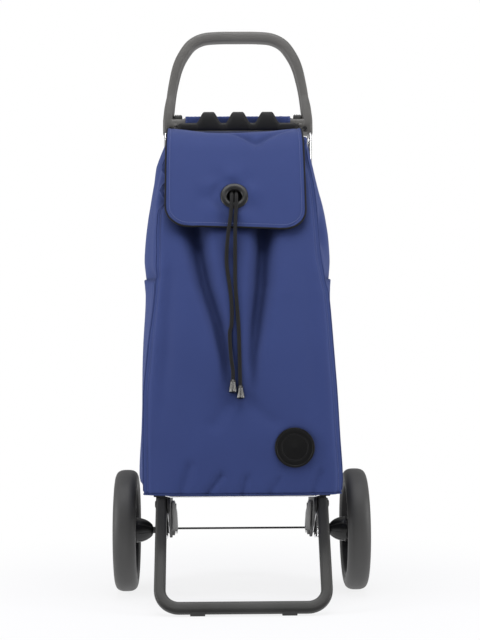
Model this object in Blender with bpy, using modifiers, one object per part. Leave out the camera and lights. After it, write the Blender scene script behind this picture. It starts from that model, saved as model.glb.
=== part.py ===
"""Two-wheel shopping trolley with a folding foot bar and a soft bag.

Metres. X runs across, the front faces -Y, Z is up and the floor is Z = 0.
The origin is the middle of the trolley's footprint.
"""

import math

import bmesh
import bpy
from mathutils import Vector

# Clearances
GAP = 0.0003                # between neighbours that touch
BORE_OVERRUN = 0.002        # how far a cutter runs past the wall it opens

# Wheels and axles
AXLE_Y = 0.0252
AXLE_Z = 0.110
WHEEL_RADIUS = 0.110
WHEEL_X = 0.2085
TYRE_HALF_WIDTH = 0.0205
TYRE_BORE = 0.0862
RIM_RADIUS = TYRE_BORE - 2 * GAP
RIM_BAND_HALF = 0.0165
WEB_HALF = 0.0045
HUB_RADIUS = 0.0195
HUB_HALF = 0.0155
RIM_BAND_DEPTH = 0.0080
RIM_FILLET = 0.004
SPOKES = 6
SPOKE_TURN = 4.0                    # degrees from the wheel's front point
WINDOW_RADII = (0.0310, 0.0690)
WINDOW_MARGINS = (16.0, 9.0)        # degrees a spoke takes on each side, inner and outer end
TYRE_CROWN_START = 0.0060
TYRE_CROWN_POWER = 2.8
TYRE_LIP = 0.002
AXLE_RADIUS = 0.006
BUSH_RADIUS = 0.0105
BUSH_LENGTH = 0.008
DOME_RADIUS = 0.023
DOME_LENGTH = 0.034
DOME_SPAN = 0.74                    # share of a quarter turn its profile covers
AXLE_HEAD_END = 0.1212
AXLE_HEAD_RADIUS = 0.0100
AXLE_TIP = 0.2262
AXLE_CLIP_RADIUS = 0.0115
AXLE_CLIP_THICKNESS = 0.0010
AXLE_CLIP_FIT = 0.0002
CAP_TOP = 0.0200
# outer face then inner face, radius and depth under the cap's top
CAP_OUTER = ((0.0, 0.0), (0.0110, 0.0006), (0.0165, 0.0020))
CAP_INNER = ((0.0155, 0.0030), (0.0105, 0.0016), (0.0, 0.0012))
CAP_EDGE_RADII = (0.0190, 0.0172)

# Leaning frame tubes
LEAN = math.radians(11.5)
TUBE_X = 0.1378
TUBE_HALF_WIDTH = 0.0045
TUBE_HALF_DEPTH = 0.0100
TUBE_LOW = 0.096
TUBE_HIGH = 0.890
AXLE_BORE = (0.12, 0.16)

# Handle
HANDLE_TOP = 1.0470
HANDLE_RADIUS = 0.0098
HANDLE_LEG_FACTOR = 0.94            # bar thickness at the legs, swelling towards the top
HANDLE_SWELL = 0.17
HANDLE_SWELL_FROM = 0.93
HANDLE_SWELL_OVER = 0.10
# one half of the arch: across, height
HANDLE_ARCH = (
    (0.1340, 0.868),
    (0.1322, 0.890),
    (0.1278, 0.930),
    (0.1232, 0.957),
    (0.1165, 0.985),
    (0.1065, 1.008),
    (0.0900, 1.0310),
    (0.0680, 1.0432),
    (0.0400, 1.0466),
)
CROSSBAR_Z = 0.8722
CROSSBAR_HALF = (0.1290, 0.0125, 0.0122)
CROSSBAR_BEVEL = 0.003
SOCKET_X = 0.1352
SOCKET_HALF = (0.0094, 0.0138, 0.0250)
SOCKET_Z = 0.878
SOCKET_BEVEL = 0.004
SOCKET_DEPTH = 0.040
SCREW_X = 0.1297
SCREW_Z = 0.8600
SCREW_RADIUS = 0.0018
SCREW_HEAD_RADIUS = 0.0034
SCREW_HEAD_HEIGHT = 0.0020
SCREW_TIP = 0.0050
SCREW_HOLE = (0.0040, 0.0150)
BAND_HALF_WIDTH = 0.101
BAND_THICKNESS = 0.0014
CLIP_X = 0.1150
CLIP_HALF = (0.0078, 0.0090, 0.0032)
CLIP_BEVEL = 0.0012

# Hook comb on the crossbar
HOOK_Y = AXLE_Y + 0.1268
HOOK_Z = 0.866
HOOK_BAR_RADIUS = 0.0062
HOOK_HALF = 0.1155
HOOK_BUMPS = (-0.056, 0.0, 0.056)
HOOK_TOP = 0.8936
HOOK_DEPTH = 0.0080
HOOK_UNDER = -0.006                 # the bar's lower edge, from its axis
HOOK_SHOULDER = 0.0055
HOOK_END_INSET = (0.012, 0.006)
# one side of a finger: from its middle, above the axis; the last two hang from its top
FINGER_FOOT = ((0.0245, 0.0065), (0.0175, 0.0125))
FINGER_CROWN = ((0.0120, -0.003), (0.0085, 0.0))
HOOK_PIN_RADIUS = 0.0022
HOOK_PIN_ENDS = (0.1085, 0.1224)
HOOK_HOLE_START = 0.1080
LUG_X = 0.1198
LUG_HALF = (0.0025, 0.0058)         # across, up
LUG_FRONT = 0.005                   # behind the tubes' centre line
LUG_BACK = 0.0055                   # behind the hook's axis
LUG_HOLE = (0.1165, 0.1235)

# Rear brace
BRACE_Z = 0.252
BRACE_HALF = (0.1360, 0.0060, 0.0110)
CLAMP_HALF = (0.0085, 0.0138, 0.0150)
BRACE_BEVEL = 0.002
BRACE_BORE = 0.03

# Brackets
WALL_IN = (0.1255, 0.1305)
WALL_OUT = (0.1517, 0.1555)
FOLD_Y = AXLE_Y - 0.120
FOLD_Z = 0.172
LOBE_RADIUS = 0.0165
AXLE_LOBE_RADIUS = 0.019
BRACKET_BACK = 0.0285
BRACKET_CORNER = 0.030              # above the axle
BRACKET_TOP = (0.025, 0.0505, 0.062)
BLOCK_INSET = 0.0010
# blocks between the walls: half depth, half height, behind the axle, height
COLLAR = (0.0250, 0.0168, 0.0030, 0.1797)
SPINE = (0.0027, 0.0360, 0.0252, 0.1360)
HOOD = (0.0540, 0.0016, -0.0720, 0.1864)
TUBE_BORE = (0.085, 0.260)
WALL_BORE = (0.120, 0.160)
WIRE_BORE = (-0.040, -0.0075)       # behind the axle
WIRE_END_Z = 0.1915
FOLD_PIN_RADIUS = 0.004
FOLD_HEAD_RADIUS = 0.0070
FOLD_HEAD_THICKNESS = 0.0024

# Foot bar
FOOT_HALF = 0.141
FOOT_RADIUS = 0.010
FOOT_BAR_Y = AXLE_Y - 0.238
FOOT_BAR_Z = 0.0125
FOOT_CORNER = 0.033
FOOT_LEG_OVERRUN = 0.006            # past the fold pivot
FOOT_LEG_STEPS = (0.05, 0.10)
FOOT_BORE = 0.16
PAD_X = 0.077
PAD_HALF = (0.0125, 0.0085)
PAD_HEIGHT = 0.0075
PAD_FIT = 0.0006

# Fold release
LATCH_Y = AXLE_Y - 0.075
LATCH_Z = 0.162
LATCH_X = (0.1160, 0.1250)
LATCH_ROD_Y = AXLE_Y - 0.038
LATCH_ROD_Z = 0.118
LATCH_ROD_RADIUS = 0.0018
LATCH_PIN_RADIUS = 0.003
LATCH_LOBES = (0.0105, 0.0085)      # radii round the pivot and round the rod
LATCH_BEVEL = 0.002
LATCH_HEAD = (0.1163, 0.1176, 0.0056)
LATCH_RECESS = (0.1150, 0.1222, 0.0066)
LATCH_BORE = (0.112, 0.130)
SPRING_SPAN = (0.1186, 0.1212)
SPRING_TURNS = 2
SPRING_SIDES = 9
SPRING_RADIUS = 0.0045
SPRING_WIRE = 0.0006

# Bag
BAG_BOTTOM = 0.1985
BAG_WALL = 0.003
BAG_BACK_GAP = 0.0045
MOUTH_RISE = 0.040
MOUTH_FROM = 0.70
BAG_LEVELS = 10
BOARD_HALF = (0.1440, 0.0900, 0.0015)
BOARD_Y = AXLE_Y - 0.1060
BOARD_LIFT = 0.0005
WIRE_RADIUS = 0.0017
WIRE_HALF = 0.1310
WIRE_FRONT = AXLE_Y - 0.2135
WIRE_CORNER = 0.022
WIRE_DROP = 0.0006
# the wire's straight sides: behind the axle, height
WIRE_SIDE = ((-0.0080, 0.1915), (-0.060, 0.1920), (-0.130, 0.1940))
# height, front edge behind the axle, half width of the front panel, half width of the sides
BAG_STATIONS = (
    (0.1985, -0.2220, 0.165, 0.172),
    (0.3000, -0.2130, 0.162, 0.172),
    (0.4500, -0.1850, 0.152, 0.167),
    (0.6000, -0.1380, 0.143, 0.163),
    (0.7000, -0.0900, 0.132, 0.151),
    (0.7600, -0.0520, 0.122, 0.137),
    (0.8020, -0.0300, 0.116, 0.124),
)
POCKET_HEIGHTS = (0.215, 0.565)
POCKET_THICKNESS = 0.0016
POCKET_GAP = 0.0012
POCKET_ROWS = 7
POCKET_SPAN = (7, 15)               # points of the bag's outline that it covers
BADGE_X = 0.088
BADGE_Z = 0.278
BADGE_RADIUS = 0.0338
BADGE_GAP = 0.0024
BADGE_THICKNESS = 0.0030
BADGE_BEVEL = 0.0008

# Flap
FLAP_X = -0.0085
FLAP_HALF = 0.1228
FLAP_CORNER = 0.040
FLAP_THICKNESS = 0.0022
FLAP_HINGE_Y = AXLE_Y + 0.085
FLAP_HINGE_Z = 0.8518
# the flap's side view from its hinge to its lower edge: behind the axle, height
FLAP_PROFILE = (
    (0.0845, 0.8490),
    (0.0600, 0.8500),
    (0.0200, 0.8462),
    (-0.0180, 0.8335),
    (-0.0450, 0.8105),
    (-0.0650, 0.7790),
    (-0.0900, 0.7290),
    (-0.1215, 0.6560),
)
EYELET_X = -0.0102
EYELET_Z = 0.7145
EYELET_OUTER = 0.0240
EYELET_HOLE = 0.0135
EYELET_NECK = 0.0158
EYELET_RIM = 0.0016
EYELET_OVERLAP = 0.0008
EYELET_SEAT = 0.0004
EYELET_BACK = (-0.0018, -0.0004)
EYELET_BACK_INSET = 0.002
EYELET_BORE = 0.02
EYELET_SPAN = 0.015                 # how far above and below the slope there is read
PIPING_RADIUS = 0.0014
PIPING_TOP = 0.8445
PIPING_SEAM = 0.0002
PIPING_LAST = 0.040
# the fixed strip behind the hinge: behind the axle, height of its upper face
ROOT_PROFILE = ((0.1265, 0.8460), (0.1070, 0.8494), (0.0858, 0.8505))
ROOT_THICKNESS = 0.0018
ROOT_INSET = 0.004

# Drawstring ends: diameter, and routes from the bag's hem to the metal tips
CORD_RADIUS = 0.0032
CORD_LEFT = (
    (-0.0150, -0.0350, 0.7530), (-0.0150, -0.0418, 0.7467), (-0.0150, -0.0487, 0.7405),
    (-0.0150, -0.0551, 0.7334), (-0.0150, -0.0600, 0.7236), (-0.0150, -0.0654, 0.7184),
    (-0.0150, -0.0721, 0.7149), (-0.0151, -0.0788, 0.7113), (-0.0152, -0.0844, 0.7061),
    (-0.0156, -0.0885, 0.6981), (-0.0162, -0.0922, 0.6889), (-0.0174, -0.0966, 0.6775),
    (-0.0192, -0.1030, 0.6640), (-0.0228, -0.1113, 0.6370), (-0.0250, -0.1210, 0.5940),
    (-0.0198, -0.1350, 0.5510), (-0.0168, -0.1465, 0.5160), (-0.0175, -0.1555, 0.4870),
    (-0.0207, -0.1603, 0.4700), (-0.0188, -0.1705, 0.4330), (-0.0156, -0.1775, 0.4070),
    (-0.0158, -0.1815, 0.3910),
)
CORD_RIGHT = (
    (-0.0066, -0.0350, 0.7530), (-0.0066, -0.0418, 0.7467), (-0.0066, -0.0487, 0.7405),
    (-0.0066, -0.0551, 0.7334), (-0.0067, -0.0600, 0.7236), (-0.0068, -0.0654, 0.7184),
    (-0.0069, -0.0721, 0.7149), (-0.0070, -0.0788, 0.7113), (-0.0071, -0.0844, 0.7061),
    (-0.0073, -0.0885, 0.6981), (-0.0078, -0.0922, 0.6889), (-0.0086, -0.0966, 0.6775),
    (-0.0092, -0.1030, 0.6640), (-0.0099, -0.1113, 0.6370), (-0.0102, -0.1210, 0.5940),
    (-0.0102, -0.1337, 0.5560), (-0.0081, -0.1437, 0.5250), (-0.0053, -0.1570, 0.4820),
    (-0.0041, -0.1705, 0.4330), (-0.0037, -0.1782, 0.4040), (-0.0032, -0.1838, 0.3810),
)
CORD_SPACING = 0.0105
TIP_LENGTH = 0.0200
TIP_RADII = (0.0042, 0.0067)

# Surface finishes: colour, roughness, metallic
FINISHES = {
    "grey_plastic": ((0.120, 0.117, 0.112), 0.45, 0.0),
    "black_plastic": ((0.022, 0.022, 0.023), 0.50, 0.0),
    "light_grey_plastic": ((0.230, 0.230, 0.225), 0.50, 0.0),
    "aluminium": ((0.780, 0.780, 0.790), 0.22, 1.0),
    "steel": ((0.560, 0.560, 0.580), 0.30, 1.0),
    "dark_paint": ((0.045, 0.045, 0.043), 0.40, 0.0),
    "rubber": ((0.050, 0.050, 0.049), 0.75, 0.0),
    "fabric": ((0.047, 0.069, 0.190), 0.85, 0.0),
    "board": ((0.060, 0.060, 0.062), 0.80, 0.0),
    "cord": ((0.014, 0.014, 0.015), 0.90, 0.0),
    "gunmetal": ((0.110, 0.108, 0.105), 0.30, 1.0),
}

SIDES = (("left", -1.0), ("right", 1.0))
YZ_PLATE = (math.pi / 2, 0.0, math.pi / 2)
XZ_PLATE = (math.pi / 2, 0.0, 0.0)
WHEEL_PLATE = (0.0, math.pi / 2, 0.0)


# ---------------------------------------------------------------- helpers

def clear_scene():
    for obj in list(bpy.data.objects):
        bpy.data.objects.remove(obj, do_unlink=True)


def make_collection(name):
    bpy.context.scene.collection.children.link(bpy.data.collections.new(name))


def make_materials():
    for name, (colour, roughness, metallic) in FINISHES.items():
        finish = bpy.data.materials.new(name)
        finish.use_nodes = True
        shader = finish.node_tree.nodes["Principled BSDF"]
        shader.inputs["Base Color"].default_value = (*colour, 1.0)
        shader.inputs["Roughness"].default_value = roughness
        shader.inputs["Metallic"].default_value = metallic


def link(name, data, finish):
    """A new object in the trolley's collection with its finish."""
    obj = bpy.data.objects.new(name, data)
    bpy.data.collections["shopping_trolley"].objects.link(obj)
    if not data.materials:
        data.materials.append(bpy.data.materials[finish].copy())
        data.materials[0].name = name + "_finish"
    return obj


def smooth(obj):
    obj.data.shade_smooth()
    obj.data.set_sharp_from_angle(angle=math.radians(35))


def from_bmesh(name, shape, finish):
    data = bpy.data.meshes.new(name)
    shape.to_mesh(data)
    shape.free()
    return link(name, data, finish)


def box(name, half, location, finish, lean=0.0, bevel=0.0):
    """A block with the given half sizes, leaning back with the frame where asked."""
    shape = bmesh.new()
    bmesh.ops.create_cube(shape, size=2.0)
    bmesh.ops.scale(shape, vec=half, verts=shape.verts)
    obj = from_bmesh(name, shape, finish)
    obj.location = location
    obj.rotation_euler = (-lean, 0.0, 0.0)
    if bevel:
        edge = obj.modifiers.new("Bevel", 'BEVEL')
        edge.width = bevel
        edge.segments = 2
    return obj


def rod(name, start, end, radius, finish, segments=16, end_radius=None):
    """A round bar between two points, tapered where an end radius is given."""
    start = Vector(start)
    end = Vector(end)
    shape = bmesh.new()
    bmesh.ops.create_cone(
        shape, cap_ends=True, segments=segments, radius1=radius,
        radius2=radius if end_radius is None else end_radius, depth=(end - start).length)
    obj = from_bmesh(name, shape, finish)
    obj.location = (start + end) / 2
    obj.rotation_euler = (end - start).to_track_quat('Z', 'Y').to_euler()
    smooth(obj)
    return obj


def turned(name, profile, finish, location, side, steps=32):
    """A profile of (radius, distance outward) turned about the wheel's axis."""
    data = bpy.data.meshes.new(name)
    points = [(radius, 0.0, outward) for radius, outward in profile]
    count = len(points)
    data.from_pydata(points, [(i, (i + 1) % count) for i in range(count)], [])
    obj = link(name, data, finish)
    screw = obj.modifiers.new("Screw", 'SCREW')
    screw.axis = 'Z'
    screw.steps = steps
    screw.render_steps = steps
    screw.use_merge_vertices = True
    screw.merge_threshold = 0.00001
    screw.use_smooth_shade = True
    obj.location = location
    obj.rotation_euler = (0.0, side * math.pi / 2, 0.0)
    return obj


def ring_profile(inner, outer, low, high):
    return [(outer, high), (outer, low), (inner, low), (inner, high)]


def poly_curve(name, points, closed):
    data = bpy.data.curves.new(name, 'CURVE')
    spline = data.splines.new('POLY')
    spline.points.add(len(points) - 1)
    for knot, point in zip(spline.points, points):
        knot.co = (*point, 1.0)
    spline.use_cyclic_u = closed
    return data


def tube(name, points, radius, finish, origin=(0.0, 0.0, 0.0), resolution=2, swell=None):
    """A round bar along points, with filled ends."""
    local = [tuple(Vector(point) - Vector(origin)) for point in points]
    data = poly_curve(name, local, False)
    data.dimensions = '3D'
    data.bevel_depth = radius
    data.bevel_resolution = resolution
    data.use_fill_caps = True
    if swell:
        for knot, factor in zip(data.splines[0].points, swell):
            knot.radius = factor
    obj = link(name, data, finish)
    obj.location = origin
    return obj


def plate(name, outline, thickness, finish, location, rotation):
    """A flat outline with a thickness, centred on its own plane."""
    data = poly_curve(name, [(u, v, 0.0) for u, v in outline], True)
    data.dimensions = '2D'
    data.fill_mode = 'BOTH'
    data.extrude = thickness / 2
    obj = link(name, data, finish)
    obj.location = location
    obj.rotation_euler = rotation
    return as_mesh(obj)


def as_mesh(obj):
    """A curve object made a closed mesh object of the same name and place."""
    bpy.context.view_layer.update()
    evaluated = obj.evaluated_get(bpy.context.evaluated_depsgraph_get())
    data = bpy.data.meshes.new_from_object(evaluated)
    shape = bmesh.new()
    shape.from_mesh(data)
    bmesh.ops.remove_doubles(shape, verts=shape.verts, dist=0.00001)
    bmesh.ops.recalc_face_normals(shape, faces=shape.faces)
    shape.to_mesh(data)
    shape.free()
    name = obj.name
    place = obj.matrix_world.copy()
    bpy.data.objects.remove(obj, do_unlink=True)
    solid = bpy.data.objects.new(name, data)
    bpy.data.collections["shopping_trolley"].objects.link(solid)
    solid.matrix_world = place
    smooth(solid)
    return solid


def shape_with(obj, tool, operation):
    """Join a tool to an object or cut it out of it."""
    boolean = obj.modifiers.new(operation.title(), 'BOOLEAN')
    boolean.operation = operation
    boolean.object = tool
    tool.name = obj.name + "_" + tool.name
    tool.hide_render = True
    tool.display_type = 'WIRE'
    for group in list(tool.users_collection):
        group.objects.unlink(tool)
    bpy.data.collections["cutters"].objects.link(tool)


def join(obj, *tools):
    for tool in tools:
        shape_with(obj, tool, 'UNION')


def cut(obj, *tools):
    for tool in tools:
        shape_with(obj, tool, 'DIFFERENCE')


def spline_points(knots, steps, closed=False):
    """Points on a Catmull-Rom curve through knots, steps to a stretch."""
    knots = [Vector(knot) for knot in knots]
    count = len(knots)
    stretches = count if closed else count - 1
    points = []
    for i in range(stretches):
        if closed:
            a, b, c, d = (knots[(i + k) % count] for k in (-1, 0, 1, 2))
        else:
            b, c = knots[i], knots[i + 1]
            a = knots[i - 1] if i else b * 2 - c
            d = knots[i + 2] if i + 2 < count else c * 2 - b
        for step in range(steps):
            t = step / steps
            points.append((b * 2 + (c - a) * t + (a * 2 - b * 5 + c * 4 - d) * t ** 2
                           + (b * 3 - a - c * 3 + d) * t ** 3) / 2)
    if not closed:
        points.append(knots[-1])
    return points


def even_points(points, spacing):
    """The same line with points at even distances."""
    lengths = [0.0]
    for a, b in zip(points, points[1:]):
        lengths.append(lengths[-1] + (b - a).length)
    count = max(2, round(lengths[-1] / spacing))
    result = []
    index = 0
    for k in range(count + 1):
        target = lengths[-1] * k / count
        while index < len(points) - 2 and lengths[index + 1] < target:
            index += 1
        share = (target - lengths[index]) / (lengths[index + 1] - lengths[index])
        result.append(points[index].lerp(points[index + 1], share))
    return result


def arc(centre, radius, start, end, steps):
    """Points on an arc, angles in degrees."""
    points = []
    for k in range(steps + 1):
        angle = math.radians(start + (end - start) * k / steps)
        points.append((centre[0] + radius * math.cos(angle), centre[1] + radius * math.sin(angle)))
    return points


def frame_y(height):
    """Where the leaning tubes' centre line is at a height."""
    return AXLE_Y + (height - 0.130) * math.tan(LEAN)


def lean_point(height, forward=0.0):
    """A point on the tubes' plane, moved forward square to it."""
    return frame_y(height) - forward * math.cos(LEAN), height + forward * math.sin(LEAN)


# ---------------------------------------------------------------- handle and tubes

def frame_tube_shape(name, side, grow, low, high):
    """An oval tube or the cavity for it."""
    length = (high - low) / math.cos(LEAN)
    shape = bmesh.new()
    bmesh.ops.create_cone(shape, cap_ends=True, segments=20, radius1=1.0, radius2=1.0, depth=length)
    half_width = TUBE_HALF_WIDTH + grow
    half_depth = TUBE_HALF_DEPTH + grow
    bmesh.ops.scale(shape, vec=(half_width, half_depth, 1.0), verts=shape.verts)
    obj = from_bmesh(name, shape, "aluminium")
    middle = (low + high) / 2
    obj.location = (side * TUBE_X, frame_y(middle), middle)
    obj.rotation_euler = (-LEAN, 0.0, 0.0)
    smooth(obj)
    return obj


def make_frame_tubes():
    for word, side in SIDES:
        pipe = frame_tube_shape("frame_tube_" + word, side, 0.0, TUBE_LOW, TUBE_HIGH)
        start, end = [(side * x, AXLE_Y, AXLE_Z) for x in AXLE_BORE]
        cut(pipe, rod("axle_hole", start, end, AXLE_RADIUS + GAP, "aluminium"))


def handle_line():
    """The arch's centre line, from one leg over the top to the other."""
    right = [(x, frame_y(z), z) for x, z in HANDLE_ARCH]
    left = [(-x, y, z) for x, y, z in reversed(right)]
    return spline_points(right + [(0.0, frame_y(HANDLE_TOP), HANDLE_TOP)] + left, 2)


def make_handle():
    line = handle_line()
    shares = [min(1.0, max(0.0, (point.z - HANDLE_SWELL_FROM) / HANDLE_SWELL_OVER)) for point in line]
    swell = [HANDLE_LEG_FACTOR + HANDLE_SWELL * share for share in shares]
    handle = as_mesh(tube("handle", line, HANDLE_RADIUS, "grey_plastic", swell=swell))
    crossbar = box("crossbar", CROSSBAR_HALF, (0.0, frame_y(CROSSBAR_Z), CROSSBAR_Z),
                   "grey_plastic", LEAN, CROSSBAR_BEVEL)
    join(handle, crossbar)
    lug_back = HOOK_Y - LUG_BACK
    lug_front = frame_y(HOOK_Z) - LUG_FRONT
    lug_y = (lug_back + lug_front) / 2
    lug_half = (LUG_HALF[0], lug_front - lug_y, LUG_HALF[1])
    for word, side in SIDES:
        socket = box("socket_" + word, SOCKET_HALF, (side * SOCKET_X, frame_y(SOCKET_Z), SOCKET_Z),
                     "grey_plastic", LEAN, SOCKET_BEVEL)
        lug = box("lug_" + word, lug_half, (side * LUG_X, lug_y, HOOK_Z), "grey_plastic")
        join(handle, socket, lug)
        cavity = frame_tube_shape("cavity_" + word, side, GAP, SOCKET_Z - SOCKET_DEPTH,
                                  TUBE_HIGH + GAP)
        start, end = [(side * x, HOOK_Y, HOOK_Z) for x in LUG_HOLE]
        pin_hole = rod("pin_hole_" + word, start, end, HOOK_PIN_RADIUS + GAP, "grey_plastic")
        depth, front = [(side * SCREW_X, *lean_point(SCREW_Z, forward)) for forward in SCREW_HOLE]
        screw_hole = rod("screw_hole_" + word, front, depth, SCREW_RADIUS + GAP, "grey_plastic")
        cut(handle, cavity, pin_hole, screw_hole)


def make_handle_screws():
    for word, side in SIDES:
        face = SOCKET_HALF[1] + GAP
        reaches = (SCREW_TIP, face, face + SCREW_HEAD_HEIGHT / 2, face + SCREW_HEAD_HEIGHT)
        tip, seat, middle, top = [(side * SCREW_X, *lean_point(SCREW_Z, reach)) for reach in reaches]
        screw = rod("handle_screw_" + word, seat, top, SCREW_HEAD_RADIUS, "black_plastic")
        join(screw, rod("shank", tip, middle, SCREW_RADIUS, "black_plastic"))


def make_band():
    """The fabric loop that hangs the bag from the crossbar, and its two clips."""
    inner = (BAND_HALF_WIDTH * 1.2, CROSSBAR_HALF[1] + GAP * 2, CROSSBAR_HALF[2] + GAP * 2)
    outer = (BAND_HALF_WIDTH, inner[1] + BAND_THICKNESS, inner[2] + BAND_THICKNESS)
    centre = (0.0, frame_y(CROSSBAR_Z), CROSSBAR_Z)
    band = box("hanging_band", outer, centre, "fabric", LEAN)
    cut(band, box("bar_space", inner, centre, "fabric", LEAN))
    rise = CROSSBAR_HALF[2] + GAP + CLIP_HALF[2]
    for word, side in SIDES:
        centre = (side * CLIP_X, frame_y(CROSSBAR_Z) + rise * math.sin(LEAN),
                  CROSSBAR_Z + rise * math.cos(LEAN))
        box("band_clip_" + word, CLIP_HALF, centre, "black_plastic", LEAN, CLIP_BEVEL)


def make_cart_hook():
    """A bar with three fingers that turns on two pins in front of the crossbar."""
    low_end, high_end = [HOOK_HALF - inset for inset in HOOK_END_INSET]
    outline = [(-low_end, HOOK_UNDER), (low_end, HOOK_UNDER), (high_end, HOOK_SHOULDER)]
    rise = HOOK_TOP - HOOK_Z
    finger = list(FINGER_FOOT) + [(reach, rise + up) for reach, up in FINGER_CROWN]
    for x in reversed(HOOK_BUMPS):
        outline += [(x + reach, up) for reach, up in finger]
        outline += [(x - reach, up) for reach, up in reversed(finger)]
    outline.append((-high_end, HOOK_SHOULDER))
    centre = (0.0, HOOK_Y, HOOK_Z)
    hook = plate("cart_hook", outline, HOOK_DEPTH, "black_plastic", centre, XZ_PLATE)
    join(hook, rod("hook_bar", (-HOOK_HALF, HOOK_Y, HOOK_Z), (HOOK_HALF, HOOK_Y, HOOK_Z),
                   HOOK_BAR_RADIUS, "black_plastic"))
    for word, side in SIDES:
        def at(x):
            return (side * x, HOOK_Y, HOOK_Z)
        cut(hook, rod("hole_" + word, at(HOOK_HOLE_START), at(HOOK_HALF + BORE_OVERRUN),
                      HOOK_PIN_RADIUS + GAP, "black_plastic"))
        start, end = HOOK_PIN_ENDS
        rod("hook_pin_" + word, at(start), at(end), HOOK_PIN_RADIUS, "steel")


def make_rear_brace():
    """The crosspiece behind the bag that ties the two tubes."""
    centre = (0.0, frame_y(BRACE_Z), BRACE_Z)
    brace = box("rear_brace", BRACE_HALF, centre, "grey_plastic", LEAN, BRACE_BEVEL)
    for word, side in SIDES:
        clamp = box("clamp_" + word, CLAMP_HALF, (side * TUBE_X, centre[1], BRACE_Z),
                    "grey_plastic", LEAN, BRACE_BEVEL)
        join(brace, clamp)
        cut(brace, frame_tube_shape("tube_space_" + word, side, GAP, BRACE_Z - BRACE_BORE,
                                    BRACE_Z + BRACE_BORE))


# ---------------------------------------------------------------- brackets and foot

def bracket_outline():
    """The bracket's side view, (behind the fold pivot, above it)."""
    axle = (AXLE_Y - FOLD_Y, AXLE_Z - FOLD_Z)
    back = AXLE_Y + BRACKET_BACK - FOLD_Y
    rise, ledge, front = BRACKET_TOP
    points = arc((0.0, 0.0), LOBE_RADIUS, 90, 250, 8)
    points += arc(axle, AXLE_LOBE_RADIUS, 235, 350, 6)
    points += [(back, axle[1] + BRACKET_CORNER), (back, rise), (back - ledge, rise),
               (back - front, LOBE_RADIUS)]
    return points


def bracket_block(name, side, half_width, half_depth, half_height, behind, height):
    """A block between the bracket's two walls."""
    middle = (WALL_IN[0] + WALL_OUT[1]) / 2
    return box(name, (half_width, half_depth, half_height), (side * middle, AXLE_Y + behind, height),
               "black_plastic")


def cross_bore(name, side, ends, y, z, radius):
    """A cutter for a hole across the trolley, in the black brackets."""
    start, end = ends
    return rod(name, (side * start, y, z), (side * end, y, z), radius + GAP, "black_plastic")


def make_brackets():
    for word, side in SIDES:
        centre = (side * sum(WALL_IN) / 2, FOLD_Y, FOLD_Z)
        bracket = plate("bracket_" + word, bracket_outline(), WALL_IN[1] - WALL_IN[0],
                        "black_plastic", centre, YZ_PLATE)
        outer = plate("outer_wall", bracket_outline(), WALL_OUT[1] - WALL_OUT[0],
                      "black_plastic", (side * sum(WALL_OUT) / 2, FOLD_Y, FOLD_Z), YZ_PLATE)
        reach = (WALL_OUT[1] - WALL_IN[0]) / 2 - BLOCK_INSET
        join(bracket, outer, bracket_block("collar", side, reach, *COLLAR),
             bracket_block("spine", side, reach, *SPINE), bracket_block("hood", side, reach, *HOOD))
        wire_ends = [(side * WIRE_HALF, AXLE_Y + y, WIRE_END_Z) for y in WIRE_BORE]
        latch_ends = (WALL_BORE[0], WALL_IN[1] + GAP)
        holes = [
            frame_tube_shape("tube_space", side, GAP, *TUBE_BORE),
            cross_bore("axle_hole", side, WALL_BORE, AXLE_Y, AXLE_Z, AXLE_RADIUS),
            cross_bore("fold_hole", side, WALL_BORE, FOLD_Y, FOLD_Z, FOLD_PIN_RADIUS),
            cross_bore("latch_hole", side, latch_ends, LATCH_Y, LATCH_Z, LATCH_PIN_RADIUS),
            rod("wire_hole", *wire_ends, WIRE_RADIUS + GAP, "black_plastic", 12),
        ]
        cut(bracket, *holes)


def headed_pin(name, side, y, z, head, shank, finish):
    """A pin across the trolley: (head end, seat, radius) and (tip, radius)."""
    head_end, seat, head_radius = head
    tip, radius = shank
    inside = (head_end + seat) / 2
    pin = rod(name, (side * head_end, y, z), (side * seat, y, z), head_radius, finish, 16)
    join(pin, rod("shank", (side * inside, y, z), (side * tip, y, z), radius, finish))


def make_fold_pins():
    for word, side in SIDES:
        headed_pin("foot_pivot_pin_" + word, side, FOLD_Y, FOLD_Z,
                   (WALL_OUT[1] + FOLD_HEAD_THICKNESS, WALL_OUT[1] + GAP, FOLD_HEAD_RADIUS),
                   (WALL_IN[0] + GAP, FOLD_PIN_RADIUS), "steel")


def foot_line():
    """The foot bar's centre line: down one leg, across the floor and up the other."""
    drop = Vector((0.0, FOOT_BAR_Y - FOLD_Y, FOOT_BAR_Z - FOLD_Z))
    along = drop.normalized()
    leg_end = drop.length - FOOT_CORNER
    pivot = Vector((FOOT_HALF, FOLD_Y, FOLD_Z))
    points = [pivot + along * step for step in (-FOOT_LEG_OVERRUN, *FOOT_LEG_STEPS, leg_end)]
    for k in range(1, 7):
        angle = math.pi / 2 * k / 6
        inward = FOOT_CORNER * (1.0 - math.cos(angle))
        points.append(pivot + along * (leg_end + FOOT_CORNER * math.sin(angle)) - Vector((inward, 0, 0)))
    mirrored = [Vector((-p.x, p.y, p.z)) for p in reversed(points)]
    return points + mirrored


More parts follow.
